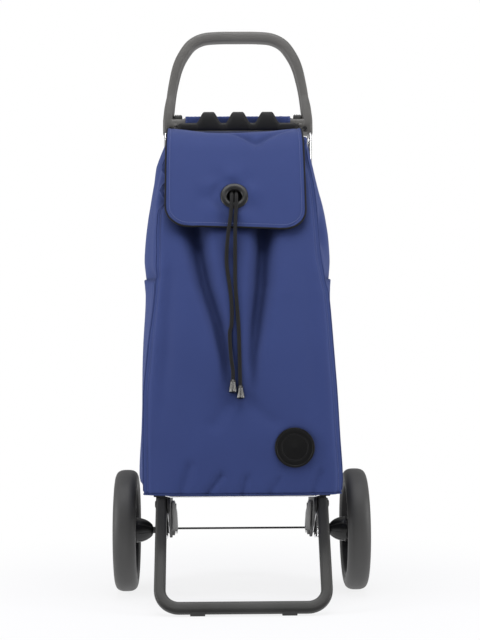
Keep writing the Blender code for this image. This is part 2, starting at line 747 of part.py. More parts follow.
def make_foot():
    origin = (0.0, FOLD_Y, FOLD_Z)
    foot = as_mesh(tube("foot_tube", foot_line(), FOOT_RADIUS, "dark_paint", origin, resolution=3))
    cut(foot, rod("pin_bore", (-FOOT_BORE, FOLD_Y, FOLD_Z), (FOOT_BORE, FOLD_Y, FOLD_Z),
                  FOLD_PIN_RADIUS + GAP, "dark_paint"))
    for word, side in SIDES:
        pad = box("foot_pad_" + word, (*PAD_HALF, PAD_HEIGHT / 2),
                  (side * PAD_X, FOOT_BAR_Y, PAD_HEIGHT / 2), "rubber")
        reach = PAD_HALF[0] + BORE_OVERRUN
        ends = [(side * PAD_X + along, FOOT_BAR_Y, FOOT_BAR_Z) for along in (-reach, reach)]
        cut(pad, rod("bar_space_" + word, *ends, FOOT_RADIUS + PAD_FIT, "rubber", 24))


def latch_outline():
    """The release lever's side view, from its pivot."""
    end = (LATCH_ROD_Y - LATCH_Y, LATCH_ROD_Z - LATCH_Z)
    return arc((0.0, 0.0), LATCH_LOBES[0], 40, 215, 8) + arc(end, LATCH_LOBES[1], 225, 400, 8)


def make_latch():
    middle = sum(LATCH_X) / 2
    for word, side in SIDES:
        lever = plate("latch_lever_" + word, latch_outline(), LATCH_X[1] - LATCH_X[0],
                      "light_grey_plastic", (side * middle, LATCH_Y, LATCH_Z), YZ_PLATE)
        edge = lever.modifiers.new("Bevel", 'BEVEL')
        edge.width = LATCH_BEVEL
        edge.segments = 2
        opening, floor, radius = LATCH_RECESS
        bore_start, bore_end = LATCH_BORE
        cut(lever, rod("recess", (side * opening, LATCH_Y, LATCH_Z), (side * floor, LATCH_Y, LATCH_Z),
                       radius, "light_grey_plastic", 20),
            rod("pin_bore", (side * bore_start, LATCH_Y, LATCH_Z), (side * bore_end, LATCH_Y, LATCH_Z),
                LATCH_PIN_RADIUS + GAP, "light_grey_plastic"))
        headed_pin("latch_pin_" + word, side, LATCH_Y, LATCH_Z, LATCH_HEAD,
                   (WALL_IN[1] - GAP, LATCH_PIN_RADIUS), "steel")
        make_latch_spring("latch_spring_" + word, side)
    reach = LATCH_X[0] - GAP
    rod("latch_rod", (-reach, LATCH_ROD_Y, LATCH_ROD_Z), (reach, LATCH_ROD_Y, LATCH_ROD_Z),
        LATCH_ROD_RADIUS, "dark_paint")


def make_latch_spring(name, side):
    """A short coil round the latch pin, in the lever's recess."""
    start, end = SPRING_SPAN
    pitch = (end - start) / SPRING_TURNS
    points = []
    for k in range(SPRING_TURNS * SPRING_SIDES + 1):
        turns = k / SPRING_SIDES
        angle = 2 * math.pi * turns
        points.append((side * (start + pitch * turns), LATCH_Y + SPRING_RADIUS * math.cos(angle),
                       LATCH_Z + SPRING_RADIUS * math.sin(angle)))
    tube(name, points, SPRING_WIRE, "steel", resolution=1)


# ---------------------------------------------------------------- wheels

def tyre_profile():
    points = []
    start = TYRE_BORE + TYRE_CROWN_START
    for k in range(9):
        share = math.cos(math.pi * k / 8)
        crown = (1.0 - abs(share) ** TYRE_CROWN_POWER) ** (1 / TYRE_CROWN_POWER)
        points.append((start + (WHEEL_RADIUS - start) * crown, TYRE_HALF_WIDTH * share))
    lip = TYRE_HALF_WIDTH - TYRE_LIP
    return points + [(TYRE_BORE, -lip), (TYRE_BORE, lip)]


def rim_profile():
    """The rim's section: one half outward from the bore, then its mirror."""
    band_in = RIM_RADIUS - RIM_BAND_DEPTH
    half = [(BUSH_RADIUS + GAP, HUB_HALF), (HUB_RADIUS, HUB_HALF), (HUB_RADIUS + RIM_FILLET, WEB_HALF),
            (band_in - RIM_FILLET, WEB_HALF), (band_in, RIM_BAND_HALF), (RIM_RADIUS, RIM_BAND_HALF)]
    return half + [(radius, -outward) for radius, outward in reversed(half)]


def window_outline(turn):
    half_inner, half_outer = [180.0 / SPOKES - margin for margin in WINDOW_MARGINS]
    inner_radius, outer_radius = WINDOW_RADII
    outer = arc((0.0, 0.0), outer_radius, turn - half_outer, turn + half_outer, 4)
    return outer + arc((0.0, 0.0), inner_radius, turn + half_inner, turn - half_inner, 2)


def make_wheels():
    for word, side in SIDES:
        centre = (side * WHEEL_X, AXLE_Y, AXLE_Z)
        turned("tyre_" + word, tyre_profile(), "rubber", centre, side, 36)
        rim = turned("rim_" + word, rim_profile(), "black_plastic", centre, side, 24)
        for k in range(SPOKES):
            outline = window_outline(360.0 * k / SPOKES + SPOKE_TURN)
            cut(rim, plate("window", outline, 2 * HUB_HALF, "black_plastic", centre, WHEEL_PLATE))
        bore = AXLE_RADIUS + GAP
        turned("inner_bush_" + word, ring_profile(bore, BUSH_RADIUS, -HUB_HALF, BUSH_LENGTH - HUB_HALF),
               "light_grey_plastic", centre, side, 16)
        turned("outer_bush_" + word, ring_profile(bore, BUSH_RADIUS, HUB_HALF - BUSH_LENGTH, HUB_HALF),
               "light_grey_plastic", centre, side, 16)
        make_hub_dome(word, side)
        make_axle(word, side)


def make_hub_dome(word, side):
    """The half ellipsoid on the wheel's inner side, turning with the wheel."""
    face = WHEEL_X - HUB_HALF - GAP
    bore = AXLE_RADIUS + GAP
    count = 6
    points = []
    for k in range(count + 1):
        angle = math.pi / 2 * (1.0 - DOME_SPAN * k / count)
        points.append((DOME_RADIUS * math.sin(angle), -DOME_LENGTH * math.cos(angle)))
    points += [(bore, points[-1][1]), (bore, 0.0)]
    turned("hub_dome_" + word, points, "black_plastic", (side * face, AXLE_Y, AXLE_Z), side, 20)


def make_axle(word, side):
    """The fixed axle with the clip that holds the wheel on it and the cap over both."""
    headed_pin("axle_" + word, side, AXLE_Y, AXLE_Z, (AXLE_HEAD_END, WALL_IN[0] - GAP, AXLE_HEAD_RADIUS),
               (AXLE_TIP, AXLE_RADIUS), "steel")
    centre = (side * WHEEL_X, AXLE_Y, AXLE_Z)
    low = HUB_HALF + GAP
    clip = ring_profile(AXLE_RADIUS + AXLE_CLIP_FIT, AXLE_CLIP_RADIUS, low, low + AXLE_CLIP_THICKNESS)
    turned("axle_clip_" + word, clip, "steel", centre, side, 16)
    profile = [(radius, CAP_TOP - depth) for radius, depth in CAP_OUTER]
    profile += [(radius, low) for radius in CAP_EDGE_RADII]
    profile += [(radius, CAP_TOP - depth) for radius, depth in CAP_INNER]
    turned("hub_cap_" + word, profile, "black_plastic", centre, side, 18)


# ---------------------------------------------------------------- bag

def bag_station(height):
    """Front edge, front half width and side half width at a height."""
    knots = [Vector(station[1:]) for station in BAG_STATIONS]
    heights = [station[0] for station in BAG_STATIONS]
    index = 0
    while index < len(heights) - 2 and heights[index + 1] < height:
        index += 1
    share = (height - heights[index]) / (heights[index + 1] - heights[index])
    b, c = knots[index], knots[index + 1]
    a = knots[index - 1] if index else b * 2 - c
    d = knots[index + 2] if index + 2 < len(knots) else c * 2 - b
    return (b * 2 + (c - a) * share + (a * 2 - b * 5 + c * 4 - d) * share ** 2
            + (b * 3 - a - c * 3 + d) * share ** 3) / 2


def bag_back(height):
    return frame_y(height) - TUBE_HALF_DEPTH / math.cos(LEAN) - BAG_BACK_GAP


def bag_section(height):
    """The bag's outline at a height, from the middle of the front round the right side."""
    front, front_half, side_half = bag_station(height)
    front += AXLE_Y
    back = bag_back(height)
    depth = back - front
    back_half = min(side_half - 0.012, 0.150)
    right = [(0.0, front), (0.64 * front_half, front), (front_half, front + 0.10 * depth),
             (side_half, front + 0.42 * depth), (side_half - 0.002, front + 0.74 * depth),
             (back_half, back - 0.03 * depth), (0.6 * back_half, back), (0.0, back)]
    left = [(-x, y) for x, y in reversed(right[1:-1])]
    return spline_points([(x, y, 0.0) for x, y in right + left], 3, closed=True)


def bag_levels():
    first = BAG_STATIONS[0][0]
    last = BAG_STATIONS[-1][0]
    return [first + (last - first) * k / BAG_LEVELS for k in range(BAG_LEVELS + 1)]


def make_bag():
    """One open shell: four walls and a bottom, with its mouth at the top."""
    data = bpy.data.meshes.new("bag_body")
    levels = bag_levels()
    top = levels[-1]
    points = []
    for height in levels:
        ring = bag_section(height)
        front = min(p.y for p in ring)
        depth = max(p.y for p in ring) - front
        lift = MOUTH_RISE * max(0.0, (height - MOUTH_FROM) / (top - MOUTH_FROM))
        shift = math.tan(LEAN)
        for p in ring:
            share = (p.y - front) / depth
            rise = lift * share
            points.append((p.x, p.y + rise * shift * share, height + rise))
    around = len(points) // len(levels)
    faces = [tuple(reversed(range(around)))]
    for row in range(len(levels) - 1):
        for k in range(around):
            a = row * around + k
            b = row * around + (k + 1) % around
            faces.append((a, b, b + around, a + around))
    data.from_pydata(points, [], faces)
    bag = link("bag_body", data, "fabric")
    wall = bag.modifiers.new("Solidify", 'SOLIDIFY')
    wall.thickness = BAG_WALL
    wall.offset = -1.0
    wall.use_even_offset = True
    smooth(bag)
    board_z = BAG_BOTTOM + BAG_WALL + GAP + BOARD_LIFT + BOARD_HALF[2]
    box("base_board", BOARD_HALF, (0.0, BOARD_Y, board_z), "board")


def make_pockets():
    """A flat pocket sewn on each side, open along its upper edge."""
    low, high = POCKET_HEIGHTS
    across = POCKET_SPAN[1] - POCKET_SPAN[0]
    for word, side in SIDES:
        points = []
        for row in range(POCKET_ROWS + 1):
            height = low + (high - low) * row / POCKET_ROWS
            ring = bag_section(height)
            for k in range(*POCKET_SPAN):
                tangent = (ring[k + 1] - ring[k - 1]).normalized()
                outward = Vector((tangent.y, -tangent.x, 0.0))
                p = ring[k] + outward * POCKET_GAP
                points.append((side * p.x, p.y, height))
        faces = []
        for row in range(POCKET_ROWS):
            for k in range(across - 1):
                a = row * across + k
                quad = (a, a + 1, a + across + 1, a + across)
                faces.append(quad if side > 0 else tuple(reversed(quad)))
        data = bpy.data.meshes.new("side_pocket_" + word)
        data.from_pydata(points, [], faces)
        pocket = link("side_pocket_" + word, data, "fabric")
        wall = pocket.modifiers.new("Solidify", 'SOLIDIFY')
        wall.thickness = POCKET_THICKNESS
        wall.offset = 1.0
        smooth(pocket)


def make_base_wire():
    """The wire that carries the bag's front edge, from one bracket round to the other."""
    height = BAG_BOTTOM - WIRE_RADIUS - WIRE_DROP
    turn = WIRE_FRONT + WIRE_CORNER
    half = [(WIRE_HALF, AXLE_Y + y, z) for y, z in WIRE_SIDE]
    half.append((WIRE_HALF, turn + WIRE_CORNER / 2, height))
    for y, x in arc((turn, WIRE_HALF - WIRE_CORNER), WIRE_CORNER, 90, 180, 6):
        half.append((x, y, height))
    points = half + [(-x, y, z) for x, y, z in reversed(half)]
    tube("base_wire", points, WIRE_RADIUS, "steel", resolution=2)


def make_badge():
    """A plain round badge on the front panel."""
    above = BADGE_Z + BADGE_RADIUS / 2
    below = BADGE_Z - BADGE_RADIUS / 2
    slope = (bag_station(above)[0] - bag_station(below)[0]) / BADGE_RADIUS
    outward = Vector((0.0, -1.0, slope)).normalized()
    surface = Vector((BADGE_X, AXLE_Y + bag_station(BADGE_Z)[0], BADGE_Z))
    back = surface + outward * BADGE_GAP
    badge = rod("badge", back, back + outward * BADGE_THICKNESS, BADGE_RADIUS, "black_plastic", 32)
    edge = badge.modifiers.new("Bevel", 'BEVEL')
    edge.width = BADGE_BEVEL
    edge.segments = 1


# ---------------------------------------------------------------- flap, eyelet and cords

def flap_line():
    return spline_points([(0.0, AXLE_Y + y, z) for y, z in FLAP_PROFILE], 6)


def flap_half_width(from_end):
    if from_end >= FLAP_CORNER:
        return FLAP_HALF
    short = FLAP_CORNER - max(from_end, 0.0)
    return FLAP_HALF - FLAP_CORNER + math.sqrt(FLAP_CORNER ** 2 - short ** 2)


def flap_rows():
    """Half width and middle point of each row across the flap, closer at the round corners."""
    line = even_points(flap_line(), 0.004)
    total = sum((b - a).length for a, b in zip(line, line[1:]))
    distances = [total * k / 8 for k in range(7)]
    distances += [total - FLAP_CORNER * (1.0 - math.sin(math.pi / 2 * k / 5)) for k in range(6)]
    rows = []
    for distance in distances:
        share = distance / total * (len(line) - 1)
        index = min(int(share), len(line) - 2)
        rows.append((flap_half_width(total - distance), line[index].lerp(line[index + 1], share - index)))
    return rows


def make_flap():
    rows = flap_rows()
    columns = 8
    points = []
    for half, middle in rows:
        for k in range(columns + 1):
            points.append((FLAP_X + half * (2.0 * k / columns - 1.0), middle.y - FLAP_HINGE_Y,
                           middle.z - FLAP_HINGE_Z))
    faces = []
    for row in range(len(rows) - 1):
        for k in range(columns):
            a = row * (columns + 1) + k
            faces.append((a, a + columns + 1, a + columns + 2, a + 1))
    data = bpy.data.meshes.new("flap")
    data.from_pydata(points, [], faces)
    flap = link("flap", data, "fabric")
    flap.location = (0.0, FLAP_HINGE_Y, FLAP_HINGE_Z)
    cloth = flap.modifiers.new("Solidify", 'SOLIDIFY')
    cloth.thickness = FLAP_THICKNESS
    cloth.offset = 1.0
    centre, outward = eyelet_place()
    cut(flap, rod("eyelet_hole", centre - outward * EYELET_BORE, centre + outward * EYELET_BORE,
                  EYELET_NECK + GAP, "fabric", 24))
    smooth(flap)


def eyelet_place():
    """The eyelet's centre on the flap and the way it faces."""
    line = flap_line()
    upper = min(line, key=lambda p: abs(p.z - EYELET_Z - EYELET_SPAN))
    lower = min(line, key=lambda p: abs(p.z - EYELET_Z + EYELET_SPAN))
    along = (lower - upper).normalized()
    share = (upper.z - EYELET_Z) / (upper.z - lower.z)
    middle = upper.lerp(lower, share)
    outward = Vector((0.0, along.z, -along.y))
    return Vector((EYELET_X, middle.y, middle.z)), outward


def make_eyelet():
    """The eyelet's two rings, one on each face of the flap."""
    centre, outward = eyelet_place()

    def disc(name, low, high, radius):
        return rod(name, centre + outward * low, centre + outward * high, radius, "black_plastic", 24)

    seat = FLAP_THICKNESS + EYELET_SEAT
    front = disc("eyelet_front", seat, seat + EYELET_RIM, EYELET_OUTER)
    join(front, disc("neck", 0.0, seat + EYELET_OVERLAP, EYELET_NECK))
    back = disc("eyelet_back", *EYELET_BACK, EYELET_OUTER - EYELET_BACK_INSET)
    for ring in (front, back):
        cut(ring, disc("hole", -EYELET_BORE, EYELET_BORE, EYELET_HOLE))


def make_piping():
    """The round black edging along the flap's sides and lower edge."""
    rows = [row for row in flap_rows() if row[1].z < PIPING_TOP]
    outward = eyelet_place()[1]
    reach = PIPING_RADIUS + GAP + PIPING_SEAM
    lift = outward * (FLAP_THICKNESS / 2)
    last = rows[-1][1]
    down = (last - rows[-2][1]).normalized()
    corner = FLAP_HALF - FLAP_CORNER
    half = []
    for width, middle in rows:
        lean_in = math.acos(min(1.0, max(0.0, (width - corner) / FLAP_CORNER)))
        across = width + reach * math.cos(lean_in)
        half.append(Vector((across, middle.y, middle.z)) + down * reach * math.sin(lean_in) + lift)
    half.append(Vector((PIPING_LAST, last.y, last.z)) + down * reach + lift)
    points = [Vector((FLAP_X + p.x, p.y, p.z)) for p in half]
    points += [Vector((FLAP_X - p.x, p.y, p.z)) for p in reversed(half)]
    tube("flap_piping", points, PIPING_RADIUS, "cord", (0.0, FLAP_HINGE_Y, FLAP_HINGE_Z))


def make_flap_root():
    """The fixed strip of fabric between the bag's back edge and the flap's hinge line."""
    outline = list(ROOT_PROFILE) + [(y, z - ROOT_THICKNESS) for y, z in reversed(ROOT_PROFILE)]
    plate("flap_root", outline, 2 * FLAP_HALF - ROOT_INSET, "fabric", (FLAP_X, AXLE_Y, 0.0), YZ_PLATE)


def make_cords():
    for word, route in (("left", CORD_LEFT), ("right", CORD_RIGHT)):
        line = even_points(spline_points(route, 8), CORD_SPACING)
        tube("drawcord_" + word, line, CORD_RADIUS, "cord", resolution=2)
        end = line[-1]
        along = (line[-1] - line[-2]).normalized()
        start = end + along * GAP
        rod("cord_tip_" + word, start, start + along * TIP_LENGTH, TIP_RADII[0], "gunmetal", 12,
            TIP_RADII[1])


def main():
    clear_scene()
    make_collection("shopping_trolley")
    make_collection("cutters")
    make_materials()
    make_handle()
    make_handle_screws()
    make_frame_tubes()
    make_band()
    make_cart_hook()
    make_rear_brace()
    make_brackets()
    make_fold_pins()
    make_foot()
    make_latch()
    make_wheels()
    make_bag()
    make_pockets()
    make_base_wire()
    make_badge()
    make_flap()
    make_flap_root()
    make_eyelet()
    make_piping()
    make_cords()
    for name in FINISHES:
        bpy.data.materials.remove(bpy.data.materials[name])


main()
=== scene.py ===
import math

import bmesh
import bpy
from mathutils import Matrix, Vector, noise


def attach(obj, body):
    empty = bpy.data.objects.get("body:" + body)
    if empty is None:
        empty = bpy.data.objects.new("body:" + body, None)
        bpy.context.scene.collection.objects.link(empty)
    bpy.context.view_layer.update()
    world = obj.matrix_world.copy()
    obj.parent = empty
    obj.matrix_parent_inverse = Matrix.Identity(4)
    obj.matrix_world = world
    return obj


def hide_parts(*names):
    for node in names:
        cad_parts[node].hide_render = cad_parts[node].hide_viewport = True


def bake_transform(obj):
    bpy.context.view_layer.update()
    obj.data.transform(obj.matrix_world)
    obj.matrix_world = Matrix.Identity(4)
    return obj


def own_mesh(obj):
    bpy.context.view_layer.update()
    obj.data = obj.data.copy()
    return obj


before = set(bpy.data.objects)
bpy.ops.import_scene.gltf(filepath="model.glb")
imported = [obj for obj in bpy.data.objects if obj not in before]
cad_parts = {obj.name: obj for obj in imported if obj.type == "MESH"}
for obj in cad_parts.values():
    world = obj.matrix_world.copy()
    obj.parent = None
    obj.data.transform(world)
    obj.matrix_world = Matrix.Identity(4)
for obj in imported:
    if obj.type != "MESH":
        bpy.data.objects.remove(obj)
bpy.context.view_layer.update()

# Shared places, in metres: Y points to the back, Z up, and the front faces -Y
AXLE_Y = 0.0252
AXLE_Z = 0.110
LEAN = math.radians(11.5)
SIDES = (("left", -1.0), ("right", 1.0))
RIGHT = Vector((1.0, 0.0, 0.0))
UP = Vector((0.0, 0.0, 1.0))

# Camera
CAMERA_HEIGHT = 0.494
CAMERA_DISTANCE = 2.70
CAMERA_YAW = math.radians(0.90)
CAMERA_ROLL = math.radians(-0.30)
CAMERA_LENS = 82.8

# Wheels
WHEEL_X = 0.2085
WHEEL_RADIUS = 0.110
TYRE_HALF_WIDTH = 0.0205
TYRE_BORE = 0.0862
SPOKES = 6
HUB_FACE = 0.0155

# Frame
TUBE_X = 0.1378
HANDLE_TOP = 1.0470
CROSSBAR_Z = 0.8722
HOOK_Y = AXLE_Y + 0.1268
HOOK_Z = 0.866
FOLD_Y = AXLE_Y - 0.120
FOLD_Z = 0.172
LATCH_Y = AXLE_Y - 0.075
LATCH_Z = 0.162
FOOT_BAR_Y = AXLE_Y - 0.238
FOOT_BAR_Z = 0.0125
CROSSBAR_HALF = (0.0122, 0.0125)  # half its height and half its depth
BAND_HALF = 0.101
BRACE_Z = 0.252
BRACE_HALF = 0.131
BRACKET_X = 0.1405
BRACKET_WALLS = ((0.1255, 0.1305), (0.1500, 0.1545))
FOOT_X = 0.141
FOOT_CORNER = 0.033
PAD_X = 0.077

# Bag: height, front behind the axle, front half widths left and right, side half widths left and right
BAG_STATIONS = (
    (0.1985, -0.2220, 0.165, 0.165, 0.1710, 0.1710),
    (0.2250, -0.2200, 0.166, 0.166, 0.1765, 0.1710),
    (0.3000, -0.2130, 0.166, 0.163, 0.1735, 0.1670),
    (0.3700, -0.2015, 0.165, 0.160, 0.1725, 0.1625),
    (0.4500, -0.1850, 0.157, 0.155, 0.1705, 0.1590),
    (0.5400, -0.1590, 0.147, 0.150, 0.1660, 0.1570),
    (0.6000, -0.1380, 0.146, 0.139, 0.1725, 0.1625),
    (0.6500, -0.1160, 0.146, 0.136, 0.1700, 0.1600),
    (0.7000, -0.0900, 0.144, 0.133, 0.1635, 0.1525),
    (0.7600, -0.0520, 0.138, 0.126, 0.1510, 0.1340),
    (0.8020, -0.0300, 0.124, 0.116, 0.1290, 0.1215),
)
BAG_BOTTOM = 0.1985
BAG_TOP = 0.8020
BACK_GAP = 0.0147
MOUTH_START = 0.70
MOUTH_RISE = 0.040
MOUTH_CURVE = 0.42
BAG_WALL = 0.0024
SEAM_RIDGE = 0.0026
GATHERS = 22.0
GATHER_DEPTH = 0.0030
# Fine unevenness of the bag's cloth, and of its lower edge: depth, fineness, seed
WRINKLES = ((0.0016, 9.0, 0.0), (0.0007, 26.0, 5.0))
HEM_WRINKLE = (0.0022, 21.0, 9.0)
POCKET_HEIGHTS = (0.215, 0.565)
# Points to a stretch of the bag's outline, and those from the front's middle to a seam and a back corner
STEPS = 12
SEAM = 4 * STEPS
BACK_CORNER = 8 * STEPS

# Soft valleys in the front: height, centre, half width, depth
VALLEYS = (
    ((0.700, -0.0860, 0.019, 0.0280), (0.652, -0.0800, 0.018, 0.0290), (0.600, -0.0725, 0.016, 0.0270),
     (0.551, -0.0620, 0.014, 0.0245), (0.486, -0.0395, 0.012, 0.0190), (0.430, -0.0265, 0.010, 0.0110),
     (0.370, -0.0200, 0.010, 0.0)),
    ((0.700, 0.0430, 0.018, 0.0290), (0.643, 0.0405, 0.017, 0.0300), (0.551, 0.0345, 0.016, 0.0280),
     (0.486, 0.0250, 0.013, 0.0210), (0.430, 0.0172, 0.011, 0.0110), (0.370, 0.0150, 0.010, 0.0)),
    ((0.640, -0.1180, 0.012, 0.0), (0.560, -0.1230, 0.011, 0.0035), (0.430, -0.1300, 0.011, 0.0035),
     (0.320, -0.1360, 0.011, 0.0)),
    ((0.640, -0.1340, 0.012, 0.0), (0.560, -0.1400, 0.010, -0.0035), (0.430, -0.1465, 0.010, -0.0035),
     (0.320, -0.1520, 0.010, 0.0)),
    ((0.620, 0.1130, 0.012, 0.0), (0.540, 0.1180, 0.012, 0.0030), (0.420, 0.1230, 0.012, 0.0030),
     (0.300, 0.1290, 0.012, 0.0)),
)
# Short creases in the front: across and height of each end, half width, depth
CREASES = (
    (-0.060, 0.203, -0.036, 0.233, 0.0060, 0.0042),
    (-0.002, 0.202, 0.006, 0.228, 0.0060, 0.0034),
    (-0.104, 0.205, -0.090, 0.248, 0.0080, 0.0036),
    (0.046, 0.204, 0.062, 0.226, 0.0060, 0.0028),
    (0.118, 0.203, 0.130, 0.236, 0.0070, 0.0034),
    (-0.022, 0.352, -0.048, 0.318, 0.0120, 0.0030),
    (0.012, 0.348, 0.052, 0.322, 0.0120, 0.0026),
)
# Pinched folds: side, height, distance from the front edge, half length, half width, depth
FOLDS = (
    (-1.0, 0.742, 0.014, 0.0100, 0.0120, 0.0200),
    (-1.0, 0.706, 0.020, 0.0100, 0.0120, 0.0180),
    (-1.0, 0.572, 0.045, 0.010, 0.030, 0.0040),
    (1.0, 0.650, 0.052, 0.0280, 0.017, 0.0110),
    (1.0, 0.560, 0.055, 0.012, 0.030, 0.0050),
)

# Flap, side view: behind the axle, height
FLAP_LINE = (
    (0.1265, 0.8448), (0.1070, 0.8480), (0.0845, 0.8490), (0.0600, 0.8500), (0.0200, 0.8462),
    (-0.0180, 0.8335), (-0.0450, 0.8105), (-0.0650, 0.7790), (-0.0900, 0.7290), (-0.1215, 0.6560),
)
FLAP_X = -0.0085
FLAP_HALF = 0.1228
FLAP_CORNER = 0.040
FLAP_THICKNESS = 0.0020
FLAP_SAG = 0.0088
FLAP_PUFF = 0.0036
FLAP_FOLD = 0.0070
FLAP_EDGE_DIP = 0.0020
FLAP_SKEW = 0.0040
PUCKER_DEPTH = 0.0020
STITCH_INSET = 0.0062
STITCH_GROOVE = 0.0007
EYELET_X = -0.0102
EYELET_Z = 0.7120
EYELET_HOLE = 0.0161
BADGE_X = 0.088
BADGE_Z = 0.278

# Drawcords
CORD_RADIUS = 0.0032
# The run both share, from the bag's hem through the eyelet: places on Y and Z
CORD_RUN = (
    (-0.0350, 0.7530), (-0.0418, 0.7467), (-0.0487, 0.7405), (-0.0551, 0.7334), (-0.0600, 0.7236),
    (-0.0654, 0.7184), (-0.0721, 0.7149), (-0.0788, 0.7113), (-0.0844, 0.7061), (-0.0885, 0.6981),
    (-0.0922, 0.6889), (-0.0966, 0.6775), (-0.1030, 0.6640), (-0.1113, 0.6370), (-0.1210, 0.5940),
)
# Each cord: its places on X along that run, then its own way down to the tip
CORDS = (
    ("left",
     (-0.0150, -0.0150, -0.0150, -0.0150, -0.0150, -0.0150, -0.0150, -0.0151, -0.0152, -0.0156,
      -0.0162, -0.0174, -0.0192, -0.0228, -0.0250),
     ((-0.0198, -0.1350, 0.5510), (-0.0168, -0.1465, 0.5160), (-0.0175, -0.1555, 0.4870),
      (-0.0207, -0.1603, 0.4700), (-0.0188, -0.1705, 0.4330), (-0.0156, -0.1775, 0.4070),
      (-0.0158, -0.1815, 0.3910))),
    ("right",
     (-0.0066, -0.0066, -0.0066, -0.0066, -0.0067, -0.0068, -0.0069, -0.0070, -0.0071, -0.0073,
      -0.0078, -0.0086, -0.0092, -0.0099, -0.0102),
     ((-0.0102, -0.1337, 0.5560), (-0.0081, -0.1437, 0.5250), (-0.0053, -0.1570, 0.4820),
      (-0.0041, -0.1705, 0.4330), (-0.0037, -0.1782, 0.4040), (-0.0032, -0.1838, 0.3810))),
)

# Looks: the shade painted into the cloth's colour in folds and under other pieces, the light round the
# studio, and the floor's white, which takes over at a distance from the trolley
# Painted shade in folds: the openness power, its reach in metres and the darkest share of the colour
PAINTED_SHADE_POWER = 1.3
PAINTED_SHADE_REACH = 0.105
PAINTED_SHADE_TONE = 0.30
WORLD_FRONT = 0.10
WORLD_BACK = 0.46
FLOOR_FADE = (0.30, 0.85)
FLOOR_WHITE = 0.83


# ---------------------------------------------------------------- small geometry

def spaced(low, high, count):
    """Even values from low to high, count steps apart."""
    return [low + (high - low) * k / count for k in range(count + 1)]


def mirrored(points):
    """The same points on the other side, the last one first."""
    return [(-p[0], *p[1:]) for p in reversed(points)]


def catmull(a, b, c, d, t):
    return (b * 2 + (c - a) * t + (a * 2 - b * 5 + c * 4 - d) * t ** 2
            + (b * 3 - a - c * 3 + d) * t ** 3) / 2


def spline(knots, steps, closed=False):
    """Points on a Catmull-Rom curve through knots, steps to a stretch."""
    knots = [Vector(knot) for knot in knots]
    count = len(knots)
    points = []
    for i in range(count if closed else count - 1):
        if closed:
            a, b, c, d = (knots[(i + k) % count] for k in (-1, 0, 1, 2))
        else:
            b, c = knots[i], knots[i + 1]
            a = knots[i - 1] if i else b * 2 - c
            d = knots[i + 2] if i + 2 < count else c * 2 - b
        points += [catmull(a, b, c, d, step / steps) for step in range(steps)]
    return points if closed else points + [knots[-1]]


def evenly(points, spacing):
    """The same line with points at even distances."""
    lengths = [0.0]
    for a, b in zip(points, points[1:]):
        lengths.append(lengths[-1] + (b - a).length)
    count = max(2, round(lengths[-1] / spacing))
    result = []
    index = 0
    for k in range(count + 1):
        target = lengths[-1] * k / count
        while index < len(points) - 2 and lengths[index + 1] < target:
            index += 1
        share = (target - lengths[index]) / (lengths[index + 1] - lengths[index])
        result.append(points[index].lerp(points[index + 1], share))
    return result


def between(rows, value):
    """Linear interpolation in a table sorted by its first column, either way round."""
    rows = sorted(rows)
    if value <= rows[0][0]:
        return rows[0][1:]
    for low, high in zip(rows, rows[1:]):
        if value <= high[0]:
            share = (value - low[0]) / (high[0] - low[0])
            return tuple(a + (b - a) * share for a, b in zip(low[1:], high[1:]))
    return rows[-1][1:]


def smoothstep(low, high, value):
    t = min(1.0, max(0.0, (value - low) / (high - low)))
    return t * t * (3.0 - 2.0 * t)


def bell(value, centre, half_width):
    return math.exp(-((value - centre) / half_width) ** 2)


def oval(half_a, half_b, power=2.0, steps=24):
    """A closed superellipse section."""
    points = []
    for k in range(steps):
        angle = 2 * math.pi * k / steps
        c, s = math.cos(angle), math.sin(angle)
        points.append((math.copysign(abs(c) ** (2 / power), c) * half_a,
                       math.copysign(abs(s) ** (2 / power), s) * half_b))
    return points


def frame_y(height):
    """Where the leaning tubes' centre line is at a height."""
    return AXLE_Y + (height - 0.130) * math.tan(LEAN)


def lean_point(x, along, forward, height=CROSSBAR_Z):
    """A point on the tubes' tilted axes: up along the tubes and forward square to them."""
    y = frame_y(height) + along * math.sin(LEAN) - forward * math.cos(LEAN)
    return Vector((x, y, height + along * math.cos(LEAN) + forward * math.sin(LEAN)))


def circle(centre, outward, radius, depth, steps):
    """Points round a part that faces outward."""
    across = outward.cross(RIGHT).normalized()
    angles = [2 * math.pi * k / steps for k in range(steps)]
    middle = centre + outward * depth
    return [middle + (RIGHT * math.cos(angle) + across * math.sin(angle)) * radius for angle in angles]


# ---------------------------------------------------------------- meshes

def mesh_object(name, points, faces, uvs=None):
    data = bpy.data.meshes.new(name)
    data.from_pydata([tuple(p) for p in points], [], faces)
    if uvs:
        layer = data.uv_layers.new(name="cloth")
        flat = [value for corners in uvs for corner in corners for value in corner]
        layer.data.foreach_set("uv", flat)
    data.shade_smooth()
    obj = bpy.data.objects.new(name, data)
    bpy.context.scene.collection.objects.link(obj)
    return obj


def outward_normals(obj):
    shape = bmesh.new()
    shape.from_mesh(obj.data)
    bmesh.ops.recalc_face_normals(shape, faces=shape.faces)
    shape.to_mesh(obj.data)
    shape.free()


